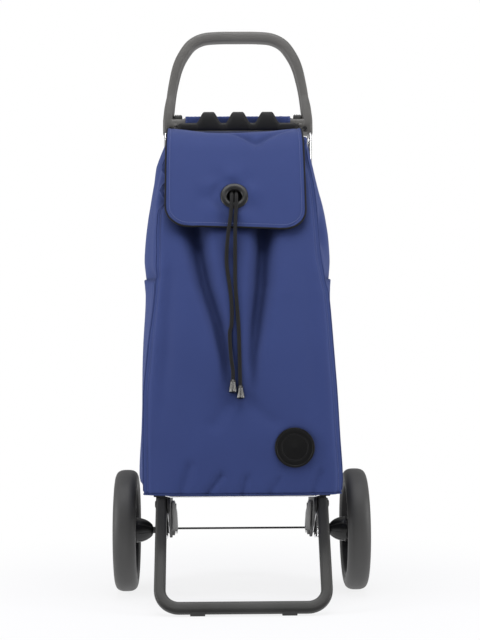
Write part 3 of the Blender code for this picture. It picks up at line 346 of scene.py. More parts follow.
def loft(name, rings, closed=True, caps=False, loop=False):
    """A skin over rows of points, with UVs in metres across and along."""
    across = len(rings[0])
    rows = len(rings)
    middle = rings[rows // 2]
    us = [0.0]
    for k in range(across):
        us.append(us[-1] + (middle[(k + 1) % across] - middle[k]).length)
    vs = [0.0]
    for r in range(rows):
        vs.append(vs[-1] + (rings[(r + 1) % rows][0] - rings[r][0]).length)
    faces, uvs = [], []
    for r in range(rows if loop else rows - 1):
        for k in range(across if closed else across - 1):
            a, b = r * across + k, r * across + (k + 1) % across
            c, d = (b + across) % (rows * across), (a + across) % (rows * across)
            faces.append((a, b, c, d))
            uvs.append(((us[k], vs[r]), (us[k + 1], vs[r]), (us[k + 1], vs[r + 1]), (us[k], vs[r + 1])))
    if caps:
        faces.append(tuple(reversed(range(across))))
        uvs.append([(us[k], 0.0) for k in reversed(range(across))])
        faces.append(tuple((rows - 1) * across + k for k in range(across)))
        uvs.append([(us[k], vs[rows - 1]) for k in range(across)])
    obj = mesh_object(name, [p for ring in rings for p in ring], faces, uvs)
    if caps or loop:
        outward_normals(obj)
    return obj


def stack(name, rows, place, power, steps):
    """A capped solid through ovals. A row is (key, half a, half b), and place turns (key, a, b) into
    a point."""
    rings = [[place(key, a, b) for a, b in oval(half_a, half_b, power, steps)]
             for key, half_a, half_b in rows]
    return loft(name, rings, caps=True)


def sweep_rings(path, section, side=RIGHT, scale=None):
    """Copies of a section, carried along a path without twisting."""
    rings = []
    for i, point in enumerate(path):
        tangent = (path[min(i + 1, len(path) - 1)] - path[max(i - 1, 0)]).normalized()
        side = (side - tangent * side.dot(tangent)).normalized()
        up = tangent.cross(side)
        size = scale(i / (len(path) - 1)) if scale else 1.0
        rings.append([point + side * a * size + up * b * size for a, b in section])
    return rings


def sweep(name, path, section, side=RIGHT, scale=None):
    """A closed, capped bar along a path, its ends slightly rounded."""
    rings = sweep_rings(path, section, side, scale)
    reach = min(abs(a) + abs(b) for a, b in section) * 0.12
    for end, inner, spot in ((0, 1, 1), (-1, -2, -1)):
        outward = (path[end] - path[inner]).normalized()
        rings[end] = [p.lerp(path[end], 0.10) for p in rings[end]]
        rings.insert(spot, [p.lerp(path[end], -0.111) - outward * reach for p in rings[end]])
    return loft(name, rings, caps=True)


def hoop(name, ring, half_a, half_b, steps):
    """Piping round a closed ring of points."""
    rings = sweep_rings(ring + ring[:2], oval(half_a, half_b, steps=steps), UP)
    return loft(name, rings[:-1], caps=True)


def lathe(name, profile, centre, side, steps):
    """A solid turned on the wheel's axis. The profile is closed: (radius, distance from centre)."""
    rings = []
    for k in range(steps):
        angle = 2 * math.pi * k / steps
        way = Vector((0.0, math.cos(angle), math.sin(angle)))
        rings.append([Vector(centre) + RIGHT * (side * along) + way * radius for radius, along in profile])
    return loft(name, rings, loop=True)


def rounded_profile(points, radius, steps=3):
    """The same closed outline with its corners rounded."""
    result = []
    count = len(points)
    for i in range(count):
        p = Vector(points[i])
        a, b = Vector(points[i - 1]) - p, Vector(points[(i + 1) % count]) - p
        cut = min(radius, a.length * 0.45, b.length * 0.45)
        start, end = p + a.normalized() * cut, p + b.normalized() * cut
        for k in range(steps + 1):
            t = k / steps
            result.append(tuple(start.lerp(p, t).lerp(p.lerp(end, t), t)))
    return result


def slab(name, outline, low, high, place, bevel):
    """An outline pushed from low to high. place turns (a, b, depth) into a point."""
    points = [place(a, b, low) for a, b in outline] + [place(a, b, high) for a, b in outline]
    count = len(outline)
    faces = [tuple(reversed(range(count))), tuple(range(count, 2 * count))]
    faces += [(k, (k + 1) % count, (k + 1) % count + count, k + count) for k in range(count)]
    obj = mesh_object(name, points, faces)
    outward_normals(obj)
    edge = obj.modifiers.new("edge", 'BEVEL')
    edge.width = bevel
    edge.segments = 2
    edge.limit_method = 'ANGLE'
    edge.angle_limit = math.radians(35)
    settle(obj)
    return crisp(obj, 50)


def crisp(obj, degrees):
    """Shades edges sharper than an angle as hard."""
    obj.data.set_sharp_from_angle(angle=math.radians(degrees))
    return obj


def settle(obj):
    """Applies the object's modifiers."""
    bpy.context.view_layer.update()
    graph = bpy.context.evaluated_depsgraph_get()
    data = bpy.data.meshes.new_from_object(obj.evaluated_get(graph))
    obj.modifiers.clear()
    obj.data = data


def thicken(obj, thickness, offset):
    wall = obj.modifiers.new("wall", 'SOLIDIFY')
    wall.thickness = thickness
    wall.offset = offset
    settle(obj)


def merge(name, *parts):
    """One object made of several meshes."""
    shape = bmesh.new()
    for part in parts:
        shape.from_mesh(part.data)
    data = bpy.data.meshes.new(name)
    shape.to_mesh(data)
    shape.free()
    for part in parts:
        bpy.data.objects.remove(part)
    obj = bpy.data.objects.new(name, data)
    bpy.context.scene.collection.objects.link(obj)
    return obj


def cut(obj, tool):
    """Takes the tool's volume out of obj."""
    knife = obj.modifiers.new("cut", 'BOOLEAN')
    knife.operation = 'DIFFERENCE'
    knife.solver = 'EXACT'
    knife.object = tool
    settle(obj)
    bpy.data.objects.remove(tool)


def piece(obj, material, slot, body, *nodes):
    """Gives a piece its material and body, and hides the CAD nodes it stands for. The slot is not used."""
    dress(obj, material, slot)
    if nodes:
        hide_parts(*nodes)
    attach(obj, body)
    return obj


def dress(obj, material, slot):
    obj.data.materials.clear()
    obj.data.materials.append(material)


def stitches(name, path, outward, pitch=0.0038, length=0.0026, radius=0.00042):
    """A row of short raised threads along a path. outward gives each one's normal."""
    line = evenly(path, pitch)
    sides = 6
    section = oval(1.0, 0.55, steps=sides)
    points, faces = [], []
    for start, stop in zip(line, line[1:]):
        middle = start.lerp(stop, 0.5)
        along = (stop - start).normalized()
        up = outward(middle).normalized()
        across = along.cross(up).normalized()
        base = len(points)
        for end, size in ((-0.5, 0.4), (-0.38, 1.0), (0.38, 1.0), (0.5, 0.4)):
            for a, b in section:
                points.append(middle + along * end * length + (across * a + up * b) * radius * size)
        for r in range(3):
            for k in range(sides):
                a, b = base + r * sides + k, base + r * sides + (k + 1) % sides
                faces.append((a, b, b + sides, a + sides))
        faces.append(tuple(base + k for k in reversed(range(sides))))
        faces.append(tuple(base + 3 * sides + k for k in range(sides)))
    obj = mesh_object(name, points, faces)
    outward_normals(obj)
    return obj


# ---------------------------------------------------------------- materials

class Nodes:
    """Builds a node tree. A node's own settings and its inputs are given by name, _ for a space."""

    def __init__(self, tree):
        self.tree = tree

    def node(self, kind, **values):
        made = self.tree.nodes.new(kind)
        for key, value in values.items():
            if hasattr(made, key):
                setattr(made, key, value)
            else:
                made.inputs[key.replace("_", " ")].default_value = value
        return made

    def link(self, source, target):
        self.tree.links.new(source, target)

    def spread(self, value, low, high, start=0.0, end=1.0, kind='LINEAR'):
        """A value that runs from start to end, made to run from low to high."""
        made = self.node("ShaderNodeMapRange", interpolation_type=kind,
                         From_Min=start, From_Max=end, To_Min=low, To_Max=high)
        self.link(value, made.inputs["Value"])
        return made.outputs["Result"]

    def math(self, operation, a, b):
        made = self.node("ShaderNodeMath", operation=operation)
        for socket, value in zip(made.inputs, (a, b)):
            if isinstance(value, (int, float)):
                socket.default_value = value
            else:
                self.link(value, socket)
        return made.outputs["Value"]

    def part(self, vector, axis):
        """One axis of a vector."""
        made = self.node("ShaderNodeSeparateXYZ")
        self.link(vector, made.inputs["Vector"])
        return made.outputs[axis]


class Shader(Nodes):
    """Builds one material's node tree."""

    def __init__(self, name):
        self.material = bpy.data.materials.new(name)
        self.material.use_nodes = True
        super().__init__(self.material.node_tree)
        self.bsdf = self.tree.nodes["Principled BSDF"]

    def coordinates(self, output="Object", scale=(1.0, 1.0, 1.0)):
        place = self.node("ShaderNodeMapping", Scale=scale)
        self.link(self.node("ShaderNodeTexCoord").outputs[output], place.inputs["Vector"])
        return place.outputs["Vector"]

    def noise(self, vector, scale, detail=3.0):
        made = self.node("ShaderNodeTexNoise", Scale=scale, Detail=detail, Roughness=0.5)
        self.link(vector, made.inputs["Vector"])
        return made.outputs["Fac"]

    def wave(self, vector, direction, scale, **values):
        made = self.node("ShaderNodeTexWave", bands_direction=direction, Scale=scale, **values)
        self.link(vector, made.inputs["Vector"])
        return made.outputs["Fac"]

    def mix(self, factor, first, second):
        """A blend of two colours, each given as numbers or as a socket."""
        made = self.node("ShaderNodeMix", data_type='RGBA')
        colours = [socket for socket in made.inputs if socket.type == 'RGBA']
        for socket, value in zip(colours, (first, second)):
            if isinstance(value, bpy.types.NodeSocket):
                self.link(value, socket)
            else:
                socket.default_value = (*value, 1.0)
        self.link(factor, made.inputs["Factor"])
        return next(socket for socket in made.outputs if socket.type == 'RGBA')

    def colour(self, factor, first, second):
        self.link(self.mix(factor, first, second), self.bsdf.inputs["Base Color"])

    def openness(self, distance, power):
        """How open a place is, for painted shade: low in folds and under other pieces."""
        made = self.node("ShaderNodeAmbientOcclusion", samples=8, Distance=distance)
        return self.math('POWER', made.outputs["AO"], power)

    def upward(self):
        """How far a face looks up: 0 for one that looks down, 1 for one that looks up."""
        normal = self.node("ShaderNodeNewGeometry").outputs["Normal"]
        return self.spread(self.part(normal, "Z"), 0.0, 1.0, -0.7, 1.0)

    def rough(self, value, low, high):
        self.link(self.spread(value, low, high), self.bsdf.inputs["Roughness"])

    def bump(self, height, distance, strength=1.0):
        made = self.node("ShaderNodeBump", Strength=strength, Distance=distance)
        self.link(height, made.inputs["Height"])
        self.link(made.outputs["Normal"], self.bsdf.inputs["Normal"])

    def set(self, **values):
        for key, value in values.items():
            self.bsdf.inputs[key.replace("_", " ")].default_value = value


def tints(colour, low, high):
    """A colour made darker and lighter."""
    return [c * low for c in colour], [min(1.0, c * high) for c in colour]


def moulded(name, colour, roughness, grain=900.0, height=0.00012, contrast=0.16, gloss=0.5):
    """Moulded plastic or rubber: fine grain, faint mottling and uneven gloss."""
    shader = Shader(name)
    place = shader.coordinates()
    shader.colour(shader.noise(place, 14.0), *tints(colour, 1.0 - contrast, 1.0 + contrast))
    shader.rough(shader.noise(place, 55.0), roughness - 0.07, roughness + 0.07)
    shader.bump(shader.noise(place, grain, 2.0), height, 0.5)
    shader.set(Specular_IOR_Level=gloss)
    return shader.material


def metal(name, colour, roughness, stretch):
    """Drawn metal with fine lines along its length."""
    shader = Shader(name)
    line = shader.noise(shader.coordinates(scale=stretch), 1.0, 2.0)
    shader.colour(line, *tints(colour, 0.93, 1.06))
    shader.rough(line, roughness - 0.05, roughness + 0.06)
    shader.bump(line, 0.00003, 0.35)
    shader.set(Metallic=1.0)
    return shader.material


def painted(name, colour, roughness, dust=0.12, gloss=0.5):
    """Powder-coated steel: a fine orange peel, and painted light: lighter faces up, darker faces down."""
    shader = Shader(name)
    place = shader.coordinates()
    peel = shader.noise(place, 420.0)
    # Painted light: faces that look up are made lighter and faces that look down darker, broken by a random
    # tone.
    lit_from_above = shader.math('POWER', shader.upward(), 3.0)
    painted_light_mix = shader.math('ADD', shader.math('MULTIPLY', lit_from_above, 0.85),
                        shader.math('MULTIPLY', shader.noise(place, 9.0), 0.30))
    shader.colour(painted_light_mix, *tints(colour, 1.0 - dust, 1.0 + dust))
    shader.rough(peel, roughness - 0.04, roughness + 0.08)
    shader.bump(peel, 0.00016, 0.5)
    shader.set(Specular_IOR_Level=gloss)
    return shader.material


def woven(name, colour, pitch=0.0011, sheen=0.07, height=0.00016, output="UV"):
    """Plain-woven polyester: crossing threads, slubs, a soft sheen and painted shade in folds."""
    shader = Shader(name)
    place = shader.coordinates(output)
    warp, weft = (shader.wave(place, way, 0.314 / pitch, Distortion=0.6, Detail_Scale=3.0) for way in "XY")
    weave = shader.math('MULTIPLY', warp, weft)
    slub = shader.noise(shader.coordinates(output, (60.0, 900.0, 60.0)), 1.0, 2.0)
    cloud = shader.noise(shader.coordinates(), 7.0, 4.0)
    mix = shader.math('ADD', shader.math('MULTIPLY', weave, 0.45), shader.math('MULTIPLY', slub, 0.25))
    mix = shader.math('ADD', mix, shader.math('MULTIPLY', cloud, 0.45))
    cloth = shader.mix(mix, *tints(colour, 0.84, 1.16))
    # Painted shade: the cloth's colour darkens in folds and under other pieces, where little light reaches.
    shader.colour(shader.openness(PAINTED_SHADE_REACH, PAINTED_SHADE_POWER), [c * PAINTED_SHADE_TONE for c in colour], cloth)
    shader.bump(weave, height, 0.6)
    shader.rough(cloud, 0.62, 0.78)
    shader.set(Sheen_Weight=sheen, Sheen_Roughness=0.45, Sheen_Tint=(0.72, 0.78, 1.0, 1.0),
               Specular_IOR_Level=0.12)
    return shader.material


def braided(name, colour, pitch=0.0026):
    """A round braid: strands crossing along the cord."""
    shader = Shader(name)
    left, right = (shader.wave(shader.coordinates("UV", (turn, 1.0, 1.0)), 'DIAGONAL', 0.32 / pitch)
                   for turn in (1.0, -1.0))
    strands = shader.math('MAXIMUM', left, right)
    shader.colour(strands, *tints(colour, 0.55, 1.30))
    shader.bump(strands, 0.0003, 0.8)
    shader.set(Roughness=0.82, Sheen_Weight=0.05, Specular_IOR_Level=0.25)
    return shader.material


def make_materials():
    blue = (0.0378, 0.0578, 0.184)
    return {
        "handle": moulded("handle_plastic", (0.096, 0.093, 0.089), 0.46),
        "black": moulded("black_plastic", (0.012, 0.012, 0.013), 0.50, 700.0, gloss=0.30),
        "clip": moulded("clip_plastic", (0.036, 0.036, 0.035), 0.44),
        "gloss_black": moulded("gloss_black_plastic", (0.010, 0.010, 0.0105), 0.32, 500.0, 0.00006),
        "badge": moulded("badge_plastic", (0.0055, 0.0055, 0.0058), 0.46, 600.0, gloss=0.16),
        "grey": moulded("grey_plastic", (0.215, 0.215, 0.211), 0.42),
        "aluminium": metal("anodised_aluminium", (0.83, 0.83, 0.84), 0.24, (900.0, 900.0, 14.0)),
        "wire": metal("plated_wire", (0.86, 0.86, 0.87), 0.34, (40.0, 900.0, 900.0)),
        # The foot's paint: strong painted light, a painted highlight facing up and painted shade facing
        # down.
        "foot": painted("foot_paint", (0.0570, 0.0566, 0.0551), 0.36, 0.92, 0.24),
        "rod": painted("rod_paint", (0.035, 0.035, 0.034), 0.42),
        "tyre": moulded("tyre_rubber", (0.058, 0.0575, 0.057), 0.55, 1100.0, 0.00010),
        "pad": moulded("pad_rubber", (0.030, 0.030, 0.030), 0.70, 800.0, 0.00020),
        "fabric": woven("bag_polyester", blue),
        "hem": woven("bag_hem", [c * 0.80 for c in blue]),
        "band": woven("band_webbing", [c * 1.05 for c in blue], 0.0020, height=0.00030),
        "thread": moulded("blue_thread", (0.080, 0.108, 0.270), 0.65, 1500.0, 0.00005),
        "board": moulded("board_fibre", (0.055, 0.055, 0.058), 0.80, 240.0, 0.00030, 0.3),
        "piping": woven("piping_tape", (0.014, 0.014, 0.015), 0.0009, sheen=0.05, output="Object"),
        "eyelet": moulded("eyelet_satin", (0.013, 0.013, 0.0135), 0.34, 500.0, 0.00004, gloss=0.35),
        # Painted shade: the near-black cloth of the disc behind the eyelet's hole.
        "facing": moulded("facing_cloth", (0.007, 0.007, 0.0075), 0.85, 1200.0, 0.00010, gloss=0.1),
        "cord": braided("drawcord_braid", (0.008, 0.008, 0.0085)),
        "gunmetal": metal("gunmetal", (0.078, 0.077, 0.075), 0.30, (200.0, 200.0, 200.0)),
    }


# ---------------------------------------------------------------- camera and cords

def make_camera():
    data = bpy.data.cameras.new("camera")
    data.lens = CAMERA_LENS
    data.sensor_width = 36.0
    camera = bpy.data.objects.new("camera", data)
    bpy.context.scene.collection.objects.link(camera)
    camera.location = (-CAMERA_DISTANCE * math.tan(CAMERA_YAW), AXLE_Y - CAMERA_DISTANCE, CAMERA_HEIGHT)
    turn = Matrix.Rotation(-CAMERA_YAW, 3, 'Z') @ Matrix.Rotation(math.pi / 2, 3, 'X')
    camera.rotation_euler = (turn @ Matrix.Rotation(CAMERA_ROLL, 3, 'Z')).to_euler()
    bpy.context.scene.camera = camera


def make_cords(paint):
    for word, across, tail in CORDS:
        knots = [(x, y, z) for x, (y, z) in zip(across, CORD_RUN)] + list(tail)
        line = evenly(spline(knots, 8), 0.0020)
        cord = sweep("drawcord_braid_" + word, line, oval(CORD_RADIUS, CORD_RADIUS, steps=14))
        tip = make_tip(word, line[-1], (line[-1] - line[-2]).normalized())
        for obj in (cord, tip):
            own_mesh(obj)
        piece(cord, paint["cord"], "cord", "flap_panel", "drawcord_" + word)
        piece(tip, paint["gunmetal"], "gunmetal", "flap_panel", "cord_tip_" + word)


def make_tip(word, start, along):
    """A bell-shaped metal end with facets along it and a rounded mouth."""
    profile = ((-0.0012, 0.0040), (0.0, 0.0046), (0.0010, 0.0049), (0.0022, 0.0043), (0.0060, 0.0047),
               (0.0110, 0.0056), (0.0160, 0.0063), (0.0186, 0.0066), (0.0198, 0.0063), (0.0203, 0.0052))
    side = (RIGHT - along * RIGHT.dot(along)).normalized()
    up = along.cross(side)
    count = 40
    rings = []
    for distance, radius in profile:
        ring = []
        for k in range(count):
            angle = 2 * math.pi * k / count
            size = radius * (1.0 - 0.06 * (k % 4 == 0))
            ring.append(start + along * distance + (side * math.cos(angle) + up * math.sin(angle)) * size)
        rings.append(ring)
    return crisp(loft("cord_bell_" + word, rings, caps=True), 24)


# ---------------------------------------------------------------- bag

def bag_ring(height):
    """The bag's outline at a height, from the middle of the front round the right side and the back."""
    front, left, right, side_left, side_right = bag_station(height)
    front += AXLE_Y
    back = frame_y(height) - BACK_GAP
    depth = back - front
    puff = 0.004 * smoothstep(0.20, 0.30, height)
    half = []
    for panel, side, turn in ((right, side_right, 0.020), (left, side_left, 0.040)):
        rear = min(side - 0.012, 0.150)
        half.append([(0.34 * panel, front - puff * 0.8),
                     (0.66 * panel, front + 0.15 * (turn - 0.020) * depth),
                     (0.90 * panel, front + turn * depth),
                     (panel, front + 0.085 * depth),
                     (panel + 0.45 * (side - panel), front + 0.22 * depth),
                     (side, front + 0.44 * depth),
                     (side - 0.001, front + 0.72 * depth),
                     (rear, back - 0.04 * depth),
                     (0.62 * rear, back - 0.001)])
    knots = [(0.0, front - puff)] + half[0] + [(0.0, back)] + mirrored(half[1])
    return spline([(x, y, 0.0) for x, y in knots], STEPS, closed=True)


def bag_station(height):
    """The bag's stations on a smooth curve."""
    rows = [Vector(row[1:]) for row in BAG_STATIONS]
    heights = [row[0] for row in BAG_STATIONS]
    i = 0
    while i < len(heights) - 2 and heights[i + 1] < height:
        i += 1
    share = (height - heights[i]) / (heights[i + 1] - heights[i])
    a = rows[i - 1] if i else rows[i] * 2 - rows[i + 1]
    d = rows[i + 2] if i + 2 < len(rows) else rows[i + 1] * 2 - rows[i]
    low = rows[i] + (rows[i + 1] - rows[i]) * share
    curve = [catmull(a[k], rows[i][k], rows[i + 1][k], d[k], share) for k in range(len(low))]
    return [low[k] * 0.4 + curve[k] * 0.6 for k in range(len(low))]


def cloth_noise(point, depth, scale, seed):
    return depth * noise.noise(Vector((point.x * scale + seed, point.y * scale, point.z * scale * 0.6)))


def bag_relief(p, normal, height, front):
    """How far the cloth stands out of its plain shape at a point."""
    facing = smoothstep(0.55, 0.95, -normal.y)
    out = 0.0
    for valley in VALLEYS:
        centre, width, depth = between(valley, height)
        out -= facing * depth * bell(p.x, centre, width)
    for x0, z0, x1, z1, width, depth in CREASES:
        ax, az = x1 - x0, z1 - z0
        share = min(1.0, max(0.0, ((p.x - x0) * ax + (height - z0) * az) / (ax * ax + az * az)))
        reach = math.hypot(p.x - x0 - ax * share, height - z0 - az * share)
        out -= facing * depth * bell(reach, 0.0, width)
    for side, z, reach, tall, wide, depth in FOLDS:
        near = smoothstep(0.110, 0.131, side * p.x)
        out -= near * depth * bell(height, z, tall) * bell(p.y - front, reach, wide)
    crown = smoothstep(0.70, 0.80, height)
    angle = math.atan2(p.x, -(p.y - AXLE_Y - 0.03))
    out += GATHER_DEPTH * crown * math.sin(angle * GATHERS)
    out += sum(cloth_noise(p, *wrinkle) for wrinkle in WRINKLES)
    low = smoothstep(0.36, 0.23, height) * smoothstep(0.198, 0.225, height)
    return out + low * cloth_noise(p, *HEM_WRINKLE)


def bag_surface(height, offset=0.0):
    """The ring of cloth points at a height, with folds, the mouth's rise and an offset outward."""
    ring = bag_ring(max(height, BAG_BOTTOM))
    count = len(ring)
    front = min(p.y for p in ring)
    depth = max(p.y for p in ring) - front
    lift = MOUTH_RISE * max(0.0, (height - MOUTH_START) / (BAG_TOP - MOUTH_START))
    points = []
    for k, p in enumerate(ring):
        along = (ring[(k + 1) % count] - ring[k - 1]).normalized()
        normal = Vector((along.y, -along.x, 0.0))
        out = bag_relief(Vector((p.x, p.y, height)), normal, height, front) + offset
        from_seam = min(abs(k - SEAM), abs(count - k - SEAM)) / STEPS
        out += SEAM_RIDGE * (bell(from_seam, 0.0, 0.18) - 0.6 * bell(from_seam, 0.44, 0.18))
        share = (p.y - front) / depth
        rise = lift * share ** MOUTH_CURVE
        q = p + normal * out
        points.append(Vector((q.x, q.y + rise * math.tan(LEAN) * share, height + rise)))
    return points


def make_bag(paint):
    rings = [bag_surface(BAG_BOTTOM, -0.0070), bag_surface(BAG_BOTTOM + 0.0006, -0.0030),
             bag_surface(BAG_BOTTOM + 0.0026, -0.0006)]
    rings += [bag_surface(z) for z in spaced(BAG_BOTTOM + 0.006, BAG_TOP, 132)]
    bag = loft("bag_cloth", rings)
    close_bottom(bag, len(rings[0]))
    thicken(bag, BAG_WALL, -1.0)
    piece(bag, paint["fabric"], "bag_fabric", "frame", "bag_body")


def close_bottom(bag, count):
    shape = bmesh.new()
    shape.from_mesh(bag.data)
    shape.verts.ensure_lookup_table()
    shape.faces.new([shape.verts[k] for k in reversed(range(count))])
    shape.to_mesh(bag.data)
    shape.free()


def make_bag_seams(paint):
    """The seams between front and gussets, with stitching beside them, and the lower and upper hems."""
    total = len(bag_ring(BAG_BOTTOM))
    heights = spaced(0.205, 0.790, 70)
    for word, pick, toward in (("right", SEAM, -1), ("left", total - SEAM, 1)):
        line = [bag_surface(z, 0.0003)[pick] for z in heights]
        seam = sweep("bag_seam_" + word, line, oval(0.0010, 0.0007, steps=10))
        piece(seam, paint["fabric"], "bag_fabric", "frame")
        inner = [bag_surface(z, 0.0002)[(pick + toward * 4) % total] for z in heights]
        row = stitches("bag_stitching_" + word, inner, lambda p: Vector((0.0, -1.0, 0.35)))
        piece(row, paint["thread"], "bag_fabric", "frame")
    hem = hoop("bag_base_piping", bag_surface(BAG_BOTTOM + 0.0012, -0.0004), 0.0014, 0.0012, 10)
    piece(hem, paint["hem"], "bag_fabric", "frame")
    rim = hoop("bag_mouth_hem", bag_surface(BAG_TOP), 0.0036, 0.0030, 12)
    piece(rim, paint["fabric"], "bag_fabric", "frame")


def make_pockets(paint):
    """A flat pocket on each side, held in by an elastic hem at its top."""
    total = len(bag_ring(BAG_BOTTOM))
    rows = 40
    for word, side in reversed(SIDES):
        picks = list(range(SEAM + 2, BACK_CORNER - 1))
        if word == "left":
            picks = [total - k for k in reversed(picks)]
        rings = []
        for row, height in enumerate(spaced(*POCKET_HEIGHTS, rows)):
            share = row / rows
            ring = bag_surface(height)
            base = bag_surface(height, 0.001)
            line = []
            for place, k in enumerate(picks):
                across = place / (len(picks) - 1)
                if word == "left":
                    across = 1.0 - across
                normal = (base[k] - ring[k]).normalized()
                swell = math.sin(math.pi * across) * (0.0004 + 0.0010 * share ** 3)
                ripple = 0.0007 * math.sin(across * 95.0) * smoothstep(0.86, 1.0, share)
                line.append(ring[k] + normal * (0.0008 + swell + ripple))
            rings.append(line)
        pocket = loft("pocket_cloth_" + word, rings, closed=False)
        thicken(pocket, 0.0012, 1.0)
        outward_normals(pocket)
        piece(pocket, paint["fabric"], "bag_fabric", "frame", "side_pocket_" + word)
        hem = sweep("pocket_elastic_" + word, rings[-1], oval(0.0019, 0.0011, steps=10), UP)
        piece(hem, paint["hem"], "bag_fabric", "frame")
        for place, column in (("front", 1), ("back", -2)):
            edge = [line[column] + RIGHT * side * 0.0016 for line in rings]
            row = stitches(f"pocket_stitching_{word}_{place}", edge, lambda p: Vector((side, -0.2, 0.0)))
            piece(row, paint["thread"], "bag_fabric", "frame")


# ---------------------------------------------------------------- flap and eyelet

def flap_line():
    return evenly(spline([(0.0, AXLE_Y + y, z) for y, z in FLAP_LINE], 12), 0.001)


def flap_frame(distance):
    """A point on the flap's middle line, the way down it and the way out of it."""
    line = FLAP_POINTS
    share = min(max(distance / FLAP_LENGTH, 0.0), 1.0) * (len(line) - 1)
    i = min(int(share), len(line) - 2)
    low, high = max(i - 3, 0), min(i + 4, len(line) - 1)
    along = (line[high] - line[low]).normalized()
    extra = (distance - FLAP_LENGTH) if distance > FLAP_LENGTH else 0.0
    return line[i].lerp(line[i + 1], share - i) + along * extra, along, Vector((0.0, along.z, -along.y))


def flap_half(from_end):
    if from_end >= FLAP_CORNER:
        return FLAP_HALF
    short = FLAP_CORNER - max(from_end, 0.0)
    return FLAP_HALF - FLAP_CORNER + math.sqrt(max(0.0, FLAP_CORNER ** 2 - short ** 2))


def flap_point(x, distance, out=0.0):
    """A point on the flap's cloth: across, down from the sewn edge, and out of the cloth."""
    middle, along, normal = flap_frame(distance)
    u = x / FLAP_HALF
    ridge = smoothstep(0.0, 0.035, distance) * smoothstep(0.175, 0.105, distance)
    sag = -FLAP_SAG * ridge * (1.0 - abs(u) ** 1.6)
    fold = bell(distance, 0.188 - 1.05 * math.hypot(x - 0.038, 0.008), 0.0120) * bell(x, 0.036, 0.056)
    puff = FLAP_PUFF * smoothstep(0.10, 0.20, distance) * (1.0 - u * u)
    relief = puff - FLAP_FOLD * fold
    relief -= FLAP_EDGE_DIP * smoothstep(0.88, 1.0, abs(u)) * smoothstep(0.09, 0.14, distance)
    pucker = Vector((x - EYELET_X, 0.0, distance - EYELET_DOWN))
    angle = math.atan2(pucker.z, pucker.x)
    relief += PUCKER_DEPTH * math.cos(angle * 5.0 + 0.8) * bell(pucker.length, 0.044, 0.018)
    wave = 0.0012 * noise.noise(Vector((x * 13.0, distance * 10.0, 3.1)))
    wave += 0.0005 * noise.noise(Vector((x * 38.0, distance * 30.0, 7.7)))
    calm = smoothstep(0.0262, 0.0420, pucker.length)
    lower = smoothstep(0.24, 0.33, distance)
    edge = flap_half(FLAP_LENGTH - distance) - abs(x)
    relief = (relief + wave) * calm - STITCH_GROOVE * bell(edge, STITCH_INSET, 0.0026)
    drop = along * (FLAP_SKEW * lower * u)
    place = middle + normal * (relief + out) + Vector((0.0, 0.0, sag)) + drop
    return Vector((FLAP_X + x, place.y, place.z))


def make_flap(paint):
    columns, rows = 120, 110
    rings = []
    for row in range(rows + 1):
        share = row / rows
        if share > 0.6:
            share = 0.6 + 0.4 * math.sin((share - 0.6) / 0.4 * math.pi / 2)
        distance = FLAP_LENGTH * share
        half = flap_half(FLAP_LENGTH - distance)
        rings.append([flap_point(half * (2.0 * k / columns - 1.0), distance) for k in range(columns + 1)])
    flap = loft("flap_cloth", rings, closed=False)
    flap.data.flip_normals()
    thicken(flap, FLAP_THICKNESS, 1.0)
    outward_normals(flap)
    centre, outward = eyelet_place()
    hole = [circle(centre, outward, EYELET_HOLE, depth, 40) for depth in (-0.02, 0.02)]
    cut(flap, loft("eyelet_cut", hole, caps=True))
    flap.data.shade_smooth()
    extras = [make_piping(), make_flap_stitching()]
    pieces = [(flap, "fabric", "bag_fabric", ("flap", "flap_root")),
              (extras[0], "piping", "cord", ("flap_piping",)), (extras[1], "thread", "bag_fabric", ())]
    for obj, look, slot_name, nodes in pieces:
        dress(obj, paint[look], slot_name)
        if nodes:
            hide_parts(*nodes)
        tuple(flap_frame(0.018)[0])
        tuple(flap_frame(0.066)[0])
        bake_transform(obj)


def flap_edge(inset, start, out):
    """A line along the flap's sides and lower edge, inset from them."""
    straight = FLAP_LENGTH - FLAP_CORNER
    reach = FLAP_CORNER - inset
    half = [(FLAP_HALF - inset, distance) for distance in spaced(start, straight, 60)]
    for angle in spaced(0.0, math.pi / 2, 18)[1:]:
        half.append((FLAP_HALF - FLAP_CORNER + reach * math.cos(angle), straight + reach * math.sin(angle)))
    half += [(x, FLAP_LENGTH - inset) for x in spaced(FLAP_HALF - FLAP_CORNER, 0.0, 12)[1:]]
    return [flap_point(x, distance, out) for x, distance in half + mirrored(half[:-1])]


def make_piping():
    path = evenly(flap_edge(-0.0012, 0.030, FLAP_THICKNESS / 2), 0.0025)
    return sweep("flap_edging", path, oval(0.0019, 0.0015, steps=12), Vector((0.0, 1.0, 0.0)))


def make_flap_stitching():
    path = flap_edge(STITCH_INSET, 0.034, FLAP_THICKNESS)
    return stitches("flap_stitching", path, lambda p: Vector((0.0, -1.0, 0.45)), 0.0042, 0.0031, 0.00062)


def eyelet_place():
    """The eyelet's centre on the flap and the way it faces."""
    middle, _, normal = flap_frame(EYELET_DOWN)
    return Vector((EYELET_X, middle.y, middle.z)), normal


def eyelet_distance():
    step = FLAP_LENGTH / (len(FLAP_POINTS) - 1)
    index = min(range(len(FLAP_POINTS)), key=lambda k: abs(FLAP_POINTS[k].z - EYELET_Z))
    return step * index


